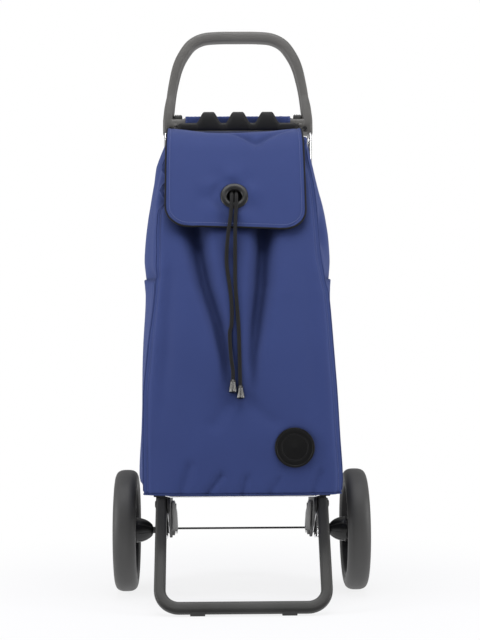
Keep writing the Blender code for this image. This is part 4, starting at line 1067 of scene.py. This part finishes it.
def make_eyelet(paint):
    """The ring in front, the washer behind and a dark disc of painted shade, dished away from the eyelet.
    """
    centre, outward = eyelet_place()
    front = [(0.0135, 0.0034), (0.0135, 0.0), (0.0158, 0.0), (0.0158, 0.0024), (0.0246, 0.0024),
             (0.0249, 0.0031), (0.0236, 0.0043), (0.0192, 0.0049), (0.0156, 0.0047)]
    back = [(0.0137, -0.0004), (0.0137, -0.0024), (0.0180, -0.0026), (0.0220, -0.0016), (0.0222, -0.0004)]
    for name, profile, node in (("eyelet_ring", front, "eyelet_front"),
                                ("eyelet_washer", back, "eyelet_back")):
        rings = [circle(centre, outward, r, d, 64) for r, d in rounded_profile(profile, 0.0008)]
        piece(loft(name, rings, loop=True), paint["eyelet"], "black_plastic", "flap_panel", node)
    # Painted shade: a near-black dished disc behind the hole stands for the shade inside the eyelet.
    dish = ((0.0005, -0.0080), (0.0060, -0.0078), (0.0110, -0.0066), (0.0150, -0.0046), (0.0180, -0.0032),
            (0.0181, -0.0038), (0.0150, -0.0053), (0.0110, -0.0073), (0.0060, -0.0086), (0.0005, -0.0088))
    facing = loft("eyelet_facing", [circle(centre, outward, r, d, 40) for r, d in dish], caps=True)
    piece(facing, paint["facing"], "cord", "flap_panel")


# ---------------------------------------------------------------- handle

def make_handle(paint):
    half = [(0.1340, 0.868), (0.1322, 0.890), (0.1278, 0.930), (0.1232, 0.957), (0.1165, 0.985),
            (0.1065, 1.008), (0.0900, 1.0310), (0.0680, 1.0432), (0.0400, 1.0466)]
    knots = [(x, frame_y(z), z) for x, z in half + [(0.0, HANDLE_TOP)] + mirrored(half)]
    line = evenly(spline(knots, 12), 0.004)
    sizes = [0.94 + 0.17 * smoothstep(0.92, 1.03, p.z) for p in line]
    arch = sweep("arch", line, oval(0.0098, 0.0104, 3.4, 40),
                 scale=lambda share: sizes[round(share * (len(sizes) - 1))])
    parts = [arch, crossbar_part()]
    for _, side in SIDES:
        parts += [socket_part(side), fillet_part(side), lug_part(side)]
    handle = crisp(merge("handle_moulding", *parts), 40)
    piece(handle, paint["handle"], "grey_plastic", "frame", "handle")


def crossbar_part():
    """The bar between the sockets, a little lower outside the band."""
    def place(x, a, b):
        lower = 0.0028 * smoothstep(BAND_HALF, BAND_HALF + 0.005, abs(x))
        return lean_point(x, a - lower * smoothstep(-0.004, 0.004, a), b)

    return stack("crossbar", [(x, *CROSSBAR_HALF) for x in spaced(-0.128, 0.128, 64)], place, 4.5, 36)


def socket_part(side):
    """The block at each end of the crossbar that takes the tube, narrowing up into the arch."""
    rows = (((-0.0192, 0.0), 0.0084, 0.0128), ((-0.0180, 0.0), 0.0093, 0.0138),
            ((0.0060, 0.0), 0.0094, 0.0138), ((0.0200, -0.0012), 0.0093, 0.0134),
            ((0.0340, -0.0026), 0.0091, 0.0120), ((0.0480, -0.0048), 0.0086, 0.0106),
            ((0.0600, -0.0070), 0.0078, 0.0094))
    return stack("socket", rows, lambda at, a, b: lean_point(side * (0.1352 + at[1]) + a, at[0], b),
                 4.0, 36)


def fillet_part(side):
    """The web that rounds the inner corner between arch and crossbar."""
    def place(angle, a, b):
        x = side * (0.1262 - 0.0130 * (1.0 - math.cos(angle)))
        return lean_point(x, 0.0105 + 0.0125 * (1.0 - math.sin(angle)) + a, b)

    rows = [(angle, 0.0022, 0.0088) for angle in spaced(0.0, math.pi / 2, 6)]
    return stack("fillet", rows, place, 3.0, 16)


def lug_part(side):
    """The ear in front of the crossbar that holds the rail's pin."""
    centre = Vector((side * 0.1198, (HOOK_Y + frame_y(HOOK_Z)) / 2 - 0.004, HOOK_Z))
    corners = [(-0.0095, -0.0058), (0.0120, -0.0064), (0.0120, 0.0064), (-0.0095, 0.0058)]
    outline = rounded_profile(corners, 0.004, 5)
    return slab("lug", outline, -0.0025, 0.0025, lambda a, b, d: centre + Vector((d, a, b)), 0.0006)


def make_rail(paint):
    """The carrying rail: a rounded bar whose top swells into three soft fingers."""
    rings = []
    for x in spaced(-0.1155, 0.1155, 150):
        finger = max(smoothstep(0.0245, 0.0085, abs(x - centre)) for centre in (-0.056, 0.0, 0.056))
        rise = 0.0066 + 0.0212 * finger
        edge = smoothstep(0.1155, 0.1080, abs(x))
        low = -0.0092 * (0.55 + 0.45 * edge)
        high = rise * (0.50 + 0.50 * edge)
        thick = (0.0062 + 0.0008 * (rise > 0.008)) * (0.75 + 0.25 * edge)
        middle, half = (low + high) / 2, (high - low) / 2
        ring = []
        for a, b in oval(1.0, 1.0, 3.2, 28):
            taper = 1.0 - 0.34 * smoothstep(-0.1, 1.0, b) * min(1.0, rise / 0.02)
            ring.append(Vector((x, HOOK_Y + a * thick * taper, HOOK_Z + middle + b * half)))
        rings.append(ring)
    rail = loft("carrying_rail", rings, caps=True)
    piece(rail, paint["black"], "black_plastic", "hook", "cart_hook")


def make_band(paint):
    """The webbing loop round the crossbar, with stitched edges."""
    half_a, half_b = (half + 0.0013 for half in CROSSBAR_HALF)
    rings = []
    for k, x in enumerate(spaced(-BAND_HALF, BAND_HALF, 90)):
        ripple = 0.0004 * math.sin(k * 0.9) + 0.0005 * noise.noise(Vector((x * 30.0, 0.0, 2.0)))
        rings.append([lean_point(x, a + math.copysign(ripple, a), b)
                      for a, b in oval(half_a, half_b, 4.5, 48)])
    band = loft("hanging_loop", rings)
    thicken(band, 0.0010, 0.0)
    outward_normals(band)
    piece(band, paint["band"], "bag_fabric", "frame", "hanging_band")
    for word, side in SIDES:
        edge = [lean_point(side * 0.0985, along, half_b + 0.0006) for along in spaced(-0.0085, 0.0085, 10)]
        row = stitches("loop_stitching_" + word, edge, lambda p: Vector((0.0, -1.0, 0.2)))
        piece(row, paint["thread"], "bag_fabric", "frame")
        make_band_clip(paint, word, side)


def make_band_clip(paint, word, side):
    """A small ridged clip that holds the loop's end on the crossbar."""
    base = CROSSBAR_HALF[0] + 0.0004
    corners = [(-0.0082, -0.0031), (0.0082, -0.0031), (0.0074, 0.0040), (-0.0074, 0.0040)]
    parts = [slab("clip_base", rounded_profile(corners, 0.0015, 4), -0.0088, 0.0088,
                  lambda a, b, d: lean_point(side * 0.1150 + a, base + b, d), 0.0007)]
    for x in spaced(-0.0048, 0.0048, 3):
        ridge = [lean_point(side * 0.1150 + x, base + 0.0042, d) for d in spaced(-0.0078, 0.0078, 4)]
        parts.append(sweep("clip_ridge", ridge, oval(0.0009, 0.0013, steps=10)))
    clip = crisp(merge("loop_clip_" + word, *parts), 50)
    piece(clip, paint["clip"], "black_plastic", "frame", "band_clip_" + word)


def make_tubes(paint):
    for word, side in SIDES:
        path = [Vector((side * TUBE_X, frame_y(z), z)) for z in spaced(0.0955, 0.8895, 20)]
        tube = crisp(sweep("side_tube_" + word, path, oval(0.0045, 0.0100, 2.6, 32)), 50)
        piece(tube, paint["aluminium"], "aluminium", "frame", "frame_tube_" + word)


def make_rear_brace(paint):
    """The crosspiece behind the bag, with a rib along it and a clamp on each tube."""
    def bar_point(x, a, b):
        return lean_point(x, a, b - 0.0022 * (1.0 - (x / BRACE_HALF) ** 2), BRACE_Z)

    rows = [(x, 0.0110, 0.0058) for x in spaced(-BRACE_HALF, BRACE_HALF, 24)]
    rib = [lean_point(x, 0.0, -0.0070, BRACE_Z) for x in spaced(-0.118, 0.118, 12)]
    parts = [stack("bar", rows, bar_point, 3.6, 28), sweep("rib", rib, oval(0.0022, 0.0014, steps=10), UP)]
    for _, side in SIDES:
        rows = [(along, 0.0087 * size, 0.0138 * size) for along, size in (
            (-0.0152, 0.92), (-0.0140, 1.0), (0.0, 1.02), (0.0140, 1.0), (0.0152, 0.92))]
        parts.append(stack("clamp", rows, lambda along, a, b: lean_point(
            side * TUBE_X + a, along, b, BRACE_Z), 3.6, 32))
    piece(merge("back_brace", *parts), paint["handle"], "grey_plastic", "frame", "rear_brace")


# ---------------------------------------------------------------- brackets, latch and foot

def arc(centre, radius, start, end, steps):
    x, y = centre
    angles = spaced(math.radians(start), math.radians(end), steps)
    return [(x + radius * math.cos(angle), y + radius * math.sin(angle)) for angle in angles]


def bracket_outline(lobe_front):
    """The bracket's side view: distance behind the fold pivot, height above it."""
    axle = (AXLE_Y - FOLD_Y, AXLE_Z - FOLD_Z)
    back = AXLE_Y + 0.0285 - FOLD_Y
    lower = arc(axle, 0.0140, 235, 350, 12)
    lower += [(back, axle[1] + 0.030), (back, 0.025), (back - 0.0505, 0.025)]
    if lobe_front:
        return arc((0.0, 0.0), 0.0165, 90, 250, 14) + lower + [(back - 0.062, 0.0165)]
    return lower + [(back - 0.0580, 0.0), (axle[0] - 0.0150, axle[1] + 0.004)]


def make_brackets(paint):
    for word, side in SIDES:
        def wall(name, low, high, lobe_front):
            return slab(name, bracket_outline(lobe_front), low, high,
                        lambda a, b, d: Vector((side * d, FOLD_Y + a, FOLD_Z + b)), 0.0009)

        def block(name, y, z, half_y, half_z, power=8.0):
            rows = [(0.0142 * share, half_y * size, half_z * size) for share, size in (
                (-1.0, 0.90), (-0.93, 1.0), (0.93, 1.0), (1.0, 0.90))]
            return stack(name, rows, lambda x, a, b: Vector(
                (side * (BRACKET_X + x), AXLE_Y + y + a, z + b)), power, 32)

        ring = [(0.0095, 0.0), (0.0125, 0.0), (0.0125, 0.0012), (0.0095, 0.0012)]
        boss = lathe("boss", rounded_profile(ring, 0.0005, 2), (side * 0.1542, AXLE_Y, AXLE_Z), side, 40)
        parts = [wall("wall_in", *BRACKET_WALLS[0], True), wall("wall_out", *BRACKET_WALLS[1], False),
                 block("collar", 0.0030, 0.1797, 0.0250, 0.0168, 5.0),
                 block("spine", 0.0252, 0.1360, 0.0027, 0.0360),
                 block("hood", -0.0720, 0.1864, 0.0540, 0.0016), boss]
        bracket = crisp(merge("wheel_bracket_" + word, *parts), 40)
        piece(bracket, paint["black"], "black_plastic", "frame", "bracket_" + word)
        edge = [(0.1296, -0.1305, 0.1560), (0.1299, -0.1120, 0.1500),
                (0.1301, -0.0700, 0.1310), (0.1302, -0.0330, 0.1110)]
        line = evenly(spline([(side * x, AXLE_Y + y, z) for x, y, z in edge], 6), 0.004)
        strip = sweep("bracket_trim_" + word, line, oval(0.0006, 0.0014, 3.0, 14))
        piece(strip, paint["wire"], "steel", "frame")
        shank = [(0.00005, 0.0), (0.0038, 0.0), (0.0038, 0.0244), (0.0062, 0.0246), (0.0060, 0.0254),
                 (0.0040, 0.0260), (0.00005, 0.0262)]
        pin = lathe("fold_pin_" + word, shank, (side * 0.1264, FOLD_Y, FOLD_Z), side, 32)
        piece(pin, paint["foot"], "steel", "frame", "foot_pivot_pin_" + word)


def make_latch(paint):
    """The release levers: fins that widen downward, with teeth at the foot, and the rod between them."""
    for word, side in SIDES:
        rows = []
        for t in spaced(0.0, 1.0, 26):
            inner = between(((0.0, 0.1186), (0.16, 0.1168), (0.40, 0.1148), (1.0, 0.1144)), t)[0]
            deep = between(((0.0, 0.0090), (0.30, 0.0100), (0.80, 0.0088), (1.0, 0.0080)), t)[0]
            wide = (0.1250 - inner) / 2
            centre = Vector((side * (inner + wide), LATCH_Y + 0.0370 * smoothstep(0.0, 1.0, t) - 0.0035,
                             LATCH_Z + 0.0105 - 0.0585 * t))
            size = 0.82 if t in (0.0, 1.0) else 1.0
            rows.append((centre, wide * size, deep * size))
        parts = [stack("lever", rows, lambda centre, a, b: centre + Vector((a, b, 0.0)), 4.5, 32)]
        for x in spaced(side * 0.1154, side * 0.1234, 4):
            tooth = [Vector((x, LATCH_Y + 0.0262, 0.1165)), Vector((x, LATCH_Y + 0.0264, 0.1105))]
            parts.append(sweep("tooth", tooth, oval(0.0005, 0.0014, 3.0, 10)))
        lever = crisp(merge("release_lever_" + word, *parts), 50)
        piece(lever, paint["grey"], "light_grey_plastic", "release_latch", "latch_lever_" + word)
    line = [Vector((x, AXLE_Y - 0.038, 0.118)) for x in spaced(-0.1150, 0.1150, 10)]
    bar = sweep("release_rod", line, oval(0.0018, 0.0018, steps=16), UP)
    piece(bar, paint["rod"], "dark_paint", "release_latch", "latch_rod")


def make_foot(paint):
    """The bent foot tube, slightly flat on its faces, and its two pads."""
    pivot = Vector((FOOT_X, FOLD_Y, FOLD_Z))
    drop = Vector((0.0, FOOT_BAR_Y - FOLD_Y, FOOT_BAR_Z - FOLD_Z))
    along = drop.normalized()
    leg_end = drop.length - FOOT_CORNER
    points = [pivot + along * distance for distance in (-0.008, 0.05, 0.10, leg_end)]
    for angle in spaced(0.0, math.pi / 2, 12)[1:]:
        points.append(pivot + along * (leg_end + FOOT_CORNER * math.sin(angle))
                      - RIGHT * (FOOT_CORNER * (1.0 - math.cos(angle))))
    line = evenly(points + [Vector(p) for p in mirrored(points)], 0.0035)
    foot = sweep("foot_loop", line, oval(0.0100, 0.0079, 3.6, 48))
    piece(foot, paint["foot"], "dark_paint", "foot", "foot_tube")
    for word, side in SIDES:
        rows = [(share * 0.0125, 0.0094 * size, 0.0052) for share, size in (
            (-1.0, 0.88), (-0.92, 1.0), (0.0, 1.03), (0.92, 1.0), (1.0, 0.88))]
        pad = stack("foot_shoe_" + word, rows,
                    lambda x, a, b: Vector((side * PAD_X + x, FOOT_BAR_Y + a, 0.0052 + b)), 5.0, 32)
        piece(pad, paint["pad"], "rubber", "foot", "foot_pad_" + word)


# ---------------------------------------------------------------- wheels

def tyre_section():
    """A rounded crown, a shallow line on each shoulder and a bead against the rim."""
    points = []
    foot = TYRE_BORE + 0.0060
    for k in range(41):
        share = math.cos(math.pi * k / 40)
        crown = max(0.0, 1.0 - abs(share) ** 2.8) ** (1 / 2.8)
        groove = 0.0006 * bell(abs(share), 0.93, 0.018)
        points.append((foot + (WHEEL_RADIUS - foot) * crown - groove, TYRE_HALF_WIDTH * share))
    points += [(TYRE_BORE + 0.0026, -TYRE_HALF_WIDTH + 0.0006), (TYRE_BORE, -TYRE_HALF_WIDTH + 0.0030),
               (TYRE_BORE, TYRE_HALF_WIDTH - 0.0030), (TYRE_BORE + 0.0026, TYRE_HALF_WIDTH - 0.0006)]
    return points


def rim_parts(centre, side):
    band = [(0.0858, 0.0162), (0.0858, -0.0162), (0.0868, -0.0186), (0.0838, -0.0192), (0.0790, -0.0168),
            (0.0776, -0.0050), (0.0776, 0.0050), (0.0790, 0.0168), (0.0838, 0.0192), (0.0868, 0.0186)]
    hub = [(0.0108, HUB_FACE), (0.0108, -HUB_FACE), (0.0182, -HUB_FACE), (0.0196, -0.0120),
           (0.0230, -0.0050), (0.0230, 0.0050), (0.0196, 0.0120), (0.0182, HUB_FACE)]
    rows = ((0.0200, 0.0120, 0.0062), (0.0280, 0.0088, 0.0058), (0.0400, 0.0070, 0.0054),
            (0.0560, 0.0066, 0.0052), (0.0680, 0.0082, 0.0056), (0.0785, 0.0135, 0.0070))
    parts = [lathe("band", rounded_profile(band, 0.0012), centre, side, 96),
             lathe("hub", rounded_profile(hub, 0.0012), centre, side, 64)]
    for k in range(SPOKES):
        angle = math.radians(360.0 * k / SPOKES + 34.0)
        out = Vector((0.0, math.cos(angle), math.sin(angle)))
        around = Vector((0.0, -math.sin(angle), math.cos(angle)))
        parts.append(stack("spoke", rows, lambda r, a, b: Vector(centre) + out * r + around * a + RIGHT * b,
                           3.0, 24))
        rib = [Vector(centre) + out * r - RIGHT * side * 0.0066 for r in (0.024, 0.040, 0.058, 0.076)]
        parts.append(sweep("rib", rib, oval(0.0012, 0.0016, steps=10)))
    return parts


def make_wheels(paint):
    for word, side in SIDES:
        body = word + "_wheel"
        centre = (side * WHEEL_X, AXLE_Y, AXLE_Z)
        tyre = lathe("wheel_tyre_" + word, tyre_section(), centre, side, 120)
        piece(tyre, paint["tyre"], "rubber", body, "tyre_" + word)
        rim = crisp(merge("wheel_rim_" + word, *rim_parts(centre, side)), 45)
        piece(rim, paint["black"], "black_plastic", body, "rim_" + word)
        make_dome(paint, word, side, body)
        make_cap(paint, word, centre, side, body)


def make_dome(paint, word, side, body):
    """The half ellipsoid on the wheel's inner face, with a collar and eight fine ribs."""
    centre = (side * (WHEEL_X - HUB_FACE - 0.0003), AXLE_Y, AXLE_Z)
    outer = [(0.0226 * math.sin(angle), -0.0332 * math.cos(angle))
             for angle in spaced(math.pi / 2, 0.1 * math.pi, 24)]
    profile = [(0.0229, 0.0), (0.0231, -0.0020)] + outer[2:] + [(0.0064, outer[-1][1]), (0.0064, 0.0)]
    parts = [lathe("dome", profile, centre, side, 72)]
    for turn in range(8):
        angle = math.pi / 4 * turn + math.radians(10.0)
        line = [Vector(centre) + Vector((side * along, r * math.cos(angle), r * math.sin(angle)))
                for r, along in outer[3:-2]]
        parts.append(sweep("rib", line, oval(0.0007, 0.0006, steps=8), Vector((0.0, 1.0, 0.0))))
    dome = merge("hub_shell_" + word, *parts)
    piece(dome, paint["gloss_black"], "black_plastic", body, "hub_dome_" + word)


def make_cap(paint, word, centre, side, body):
    profile = [(0.00005, 0.0200), (0.0060, 0.0199), (0.0090, 0.0201), (0.0100, 0.0195), (0.0130, 0.0192),
               (0.0165, 0.0180), (0.0190, 0.0158), (0.0172, 0.0158), (0.0155, 0.0170), (0.0105, 0.0184),
               (0.00005, 0.0188)]
    cap = lathe("axle_cover_" + word, profile, centre, side, 56)
    piece(cap, paint["gloss_black"], "black_plastic", body, "hub_cap_" + word)


# ---------------------------------------------------------------- badge, wire and small parts

def make_badge(paint):
    """A plain round badge: a raised rim, a dished face and one ring."""
    low, high = bag_station(BADGE_Z - 0.02)[0], bag_station(BADGE_Z + 0.02)[0]
    outward = Vector((0.0, -1.0, (high - low) / 0.04)).normalized()
    centre = Vector((BADGE_X, AXLE_Y + bag_station(BADGE_Z)[0], BADGE_Z)) + outward * 0.0006
    profile = [(0.00005, 0.0), (0.0332, 0.0), (0.0338, 0.0020), (0.0336, 0.0040), (0.0322, 0.0048),
               (0.0306, 0.0044), (0.0298, 0.0036), (0.0236, 0.0033), (0.0228, 0.0039), (0.0216, 0.0039),
               (0.0208, 0.0033), (0.00005, 0.0031)]
    rings = [circle(centre, outward, r, d, 96) for r, d in rounded_profile(profile, 0.0004, 2)]
    badge = loft("round_badge", rings, loop=True)
    piece(badge, paint["badge"], "black_plastic", "frame", "badge")


def make_wire(paint):
    front = AXLE_Y - 0.2135
    height = BAG_BOTTOM - 0.0023
    half_width, radius = 0.1310, 0.022
    half = [(half_width, AXLE_Y - 0.0080, 0.1915), (half_width, AXLE_Y - 0.060, 0.1920),
            (half_width, AXLE_Y - 0.130, 0.1940), (half_width, front + radius + 0.01, height)]
    half += [(x, y, height) for y, x in arc((front + radius, half_width - radius), radius, 90, 180, 12)]
    line = evenly(spline(half + mirrored(half), 4), 0.004)
    wire = sweep("bag_wire", line, oval(0.0017, 0.0017, steps=16), UP)
    piece(wire, paint["wire"], "steel", "frame", "base_wire")


def dress_small_parts(paint):
    """Materials for the CAD solids that show as they are."""
    looks = {"handle_screw": "black", "hook_pin": "black", "latch_pin": "black",
             "latch_spring": "rod", "inner_bush": "black", "outer_bush": "black", "axle_clip": "rod",
             "axle": "rod", "base_board": "board"}
    for name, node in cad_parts.items():
        stem = name.replace("_left", "").replace("_right", "")
        if stem in looks:
            for slot in node.material_slots:
                slot.material = paint[looks[stem]]


# ---------------------------------------------------------------- floor and light

def make_floor():
    """A pale floor that takes a soft shadow near the trolley and runs out into plain white."""
    shader = Shader("studio_floor")
    place = shader.node("ShaderNodeVectorMath", operation='LENGTH')
    shader.link(shader.coordinates(), place.inputs[0])
    fade = shader.spread(place.outputs["Value"], FLOOR_WHITE, 1.0, *FLOOR_FADE, 'SMOOTHSTEP')
    shader.set(Base_Color=(0.84, 0.84, 0.91, 1.0), Roughness=0.9, Specular_IOR_Level=0.1)
    glow = shader.node("ShaderNodeEmission", Strength=1.0)
    mix = shader.node("ShaderNodeMixShader")
    shader.link(fade, mix.inputs["Fac"])
    shader.link(shader.bsdf.outputs["BSDF"], mix.inputs[1])
    shader.link(glow.outputs["Emission"], mix.inputs[2])
    shader.link(mix.outputs["Shader"], shader.tree.nodes["Material Output"].inputs["Surface"])
    size = 6.0
    points = [(-size, -size, 0.0), (size, -size, 0.0), (size, size, 0.0), (-size, size, 0.0)]
    floor = mesh_object("studio_floor", points, [(0, 1, 2, 3)])
    floor.location = (0.0, -0.02, -0.0005)
    floor.data.materials.append(shader.material)


def make_light(name, place, aim, size, power):
    data = bpy.data.lights.new(name, 'AREA')
    data.shape = 'RECTANGLE'
    data.size, data.size_y = size
    data.energy = power
    light = bpy.data.objects.new(name, data)
    light.location = place
    light.rotation_euler = (Vector(aim) - Vector(place)).to_track_quat('-Z', 'Y').to_euler()
    bpy.context.scene.collection.objects.link(light)


def make_studio():
    """A white backdrop whose light comes more from behind, and three soft lamps."""
    world = bpy.data.worlds.new("studio")
    world.use_nodes = True
    sky = Nodes(world.node_tree)
    back = sky.tree.nodes["Background"]
    back.inputs["Color"].default_value = (1.0, 1.0, 1.0, 1.0)
    way = sky.part(sky.node("ShaderNodeTexCoord").outputs["Generated"], "Y")
    ambient = sky.spread(way, WORLD_FRONT, WORLD_BACK, -0.9, 0.3)
    seen = sky.node("ShaderNodeLightPath").outputs["Is Camera Ray"]
    sky.link(sky.math('MAXIMUM', seen, ambient), back.inputs["Strength"])
    bpy.context.scene.world = world
    make_light("left", (-2.75, -1.00, 1.3), (0.0, 0.0, 0.5), (0.9, 1.9), 50.0)
    make_light("right", (2.75, -1.00, 1.3), (0.0, 0.0, 0.5), (0.8, 1.9), 44.0)
    make_light("top", (0.0, -0.6, 2.9), (0.0, 0.0, 0.3), (1.8, 1.5), 40.0)
    scene = bpy.context.scene
    scene.view_settings.view_transform = 'Standard'
    scene.view_settings.look = 'None'


# ---------------------------------------------------------------- build

def main():
    paint = make_materials()
    make_camera()
    make_cords(paint)
    make_bag(paint)
    make_bag_seams(paint)
    make_pockets(paint)
    make_flap(paint)
    make_eyelet(paint)
    make_handle(paint)
    make_rail(paint)
    make_band(paint)
    make_tubes(paint)
    make_rear_brace(paint)
    make_brackets(paint)
    make_latch(paint)
    make_foot(paint)
    make_wheels(paint)
    make_badge(paint)
    make_wire(paint)
    dress_small_parts(paint)
    make_floor()
    make_studio()


FLAP_POINTS = flap_line()
FLAP_LENGTH = sum((b - a).length for a, b in zip(FLAP_POINTS, FLAP_POINTS[1:]))
EYELET_DOWN = eyelet_distance()
main()
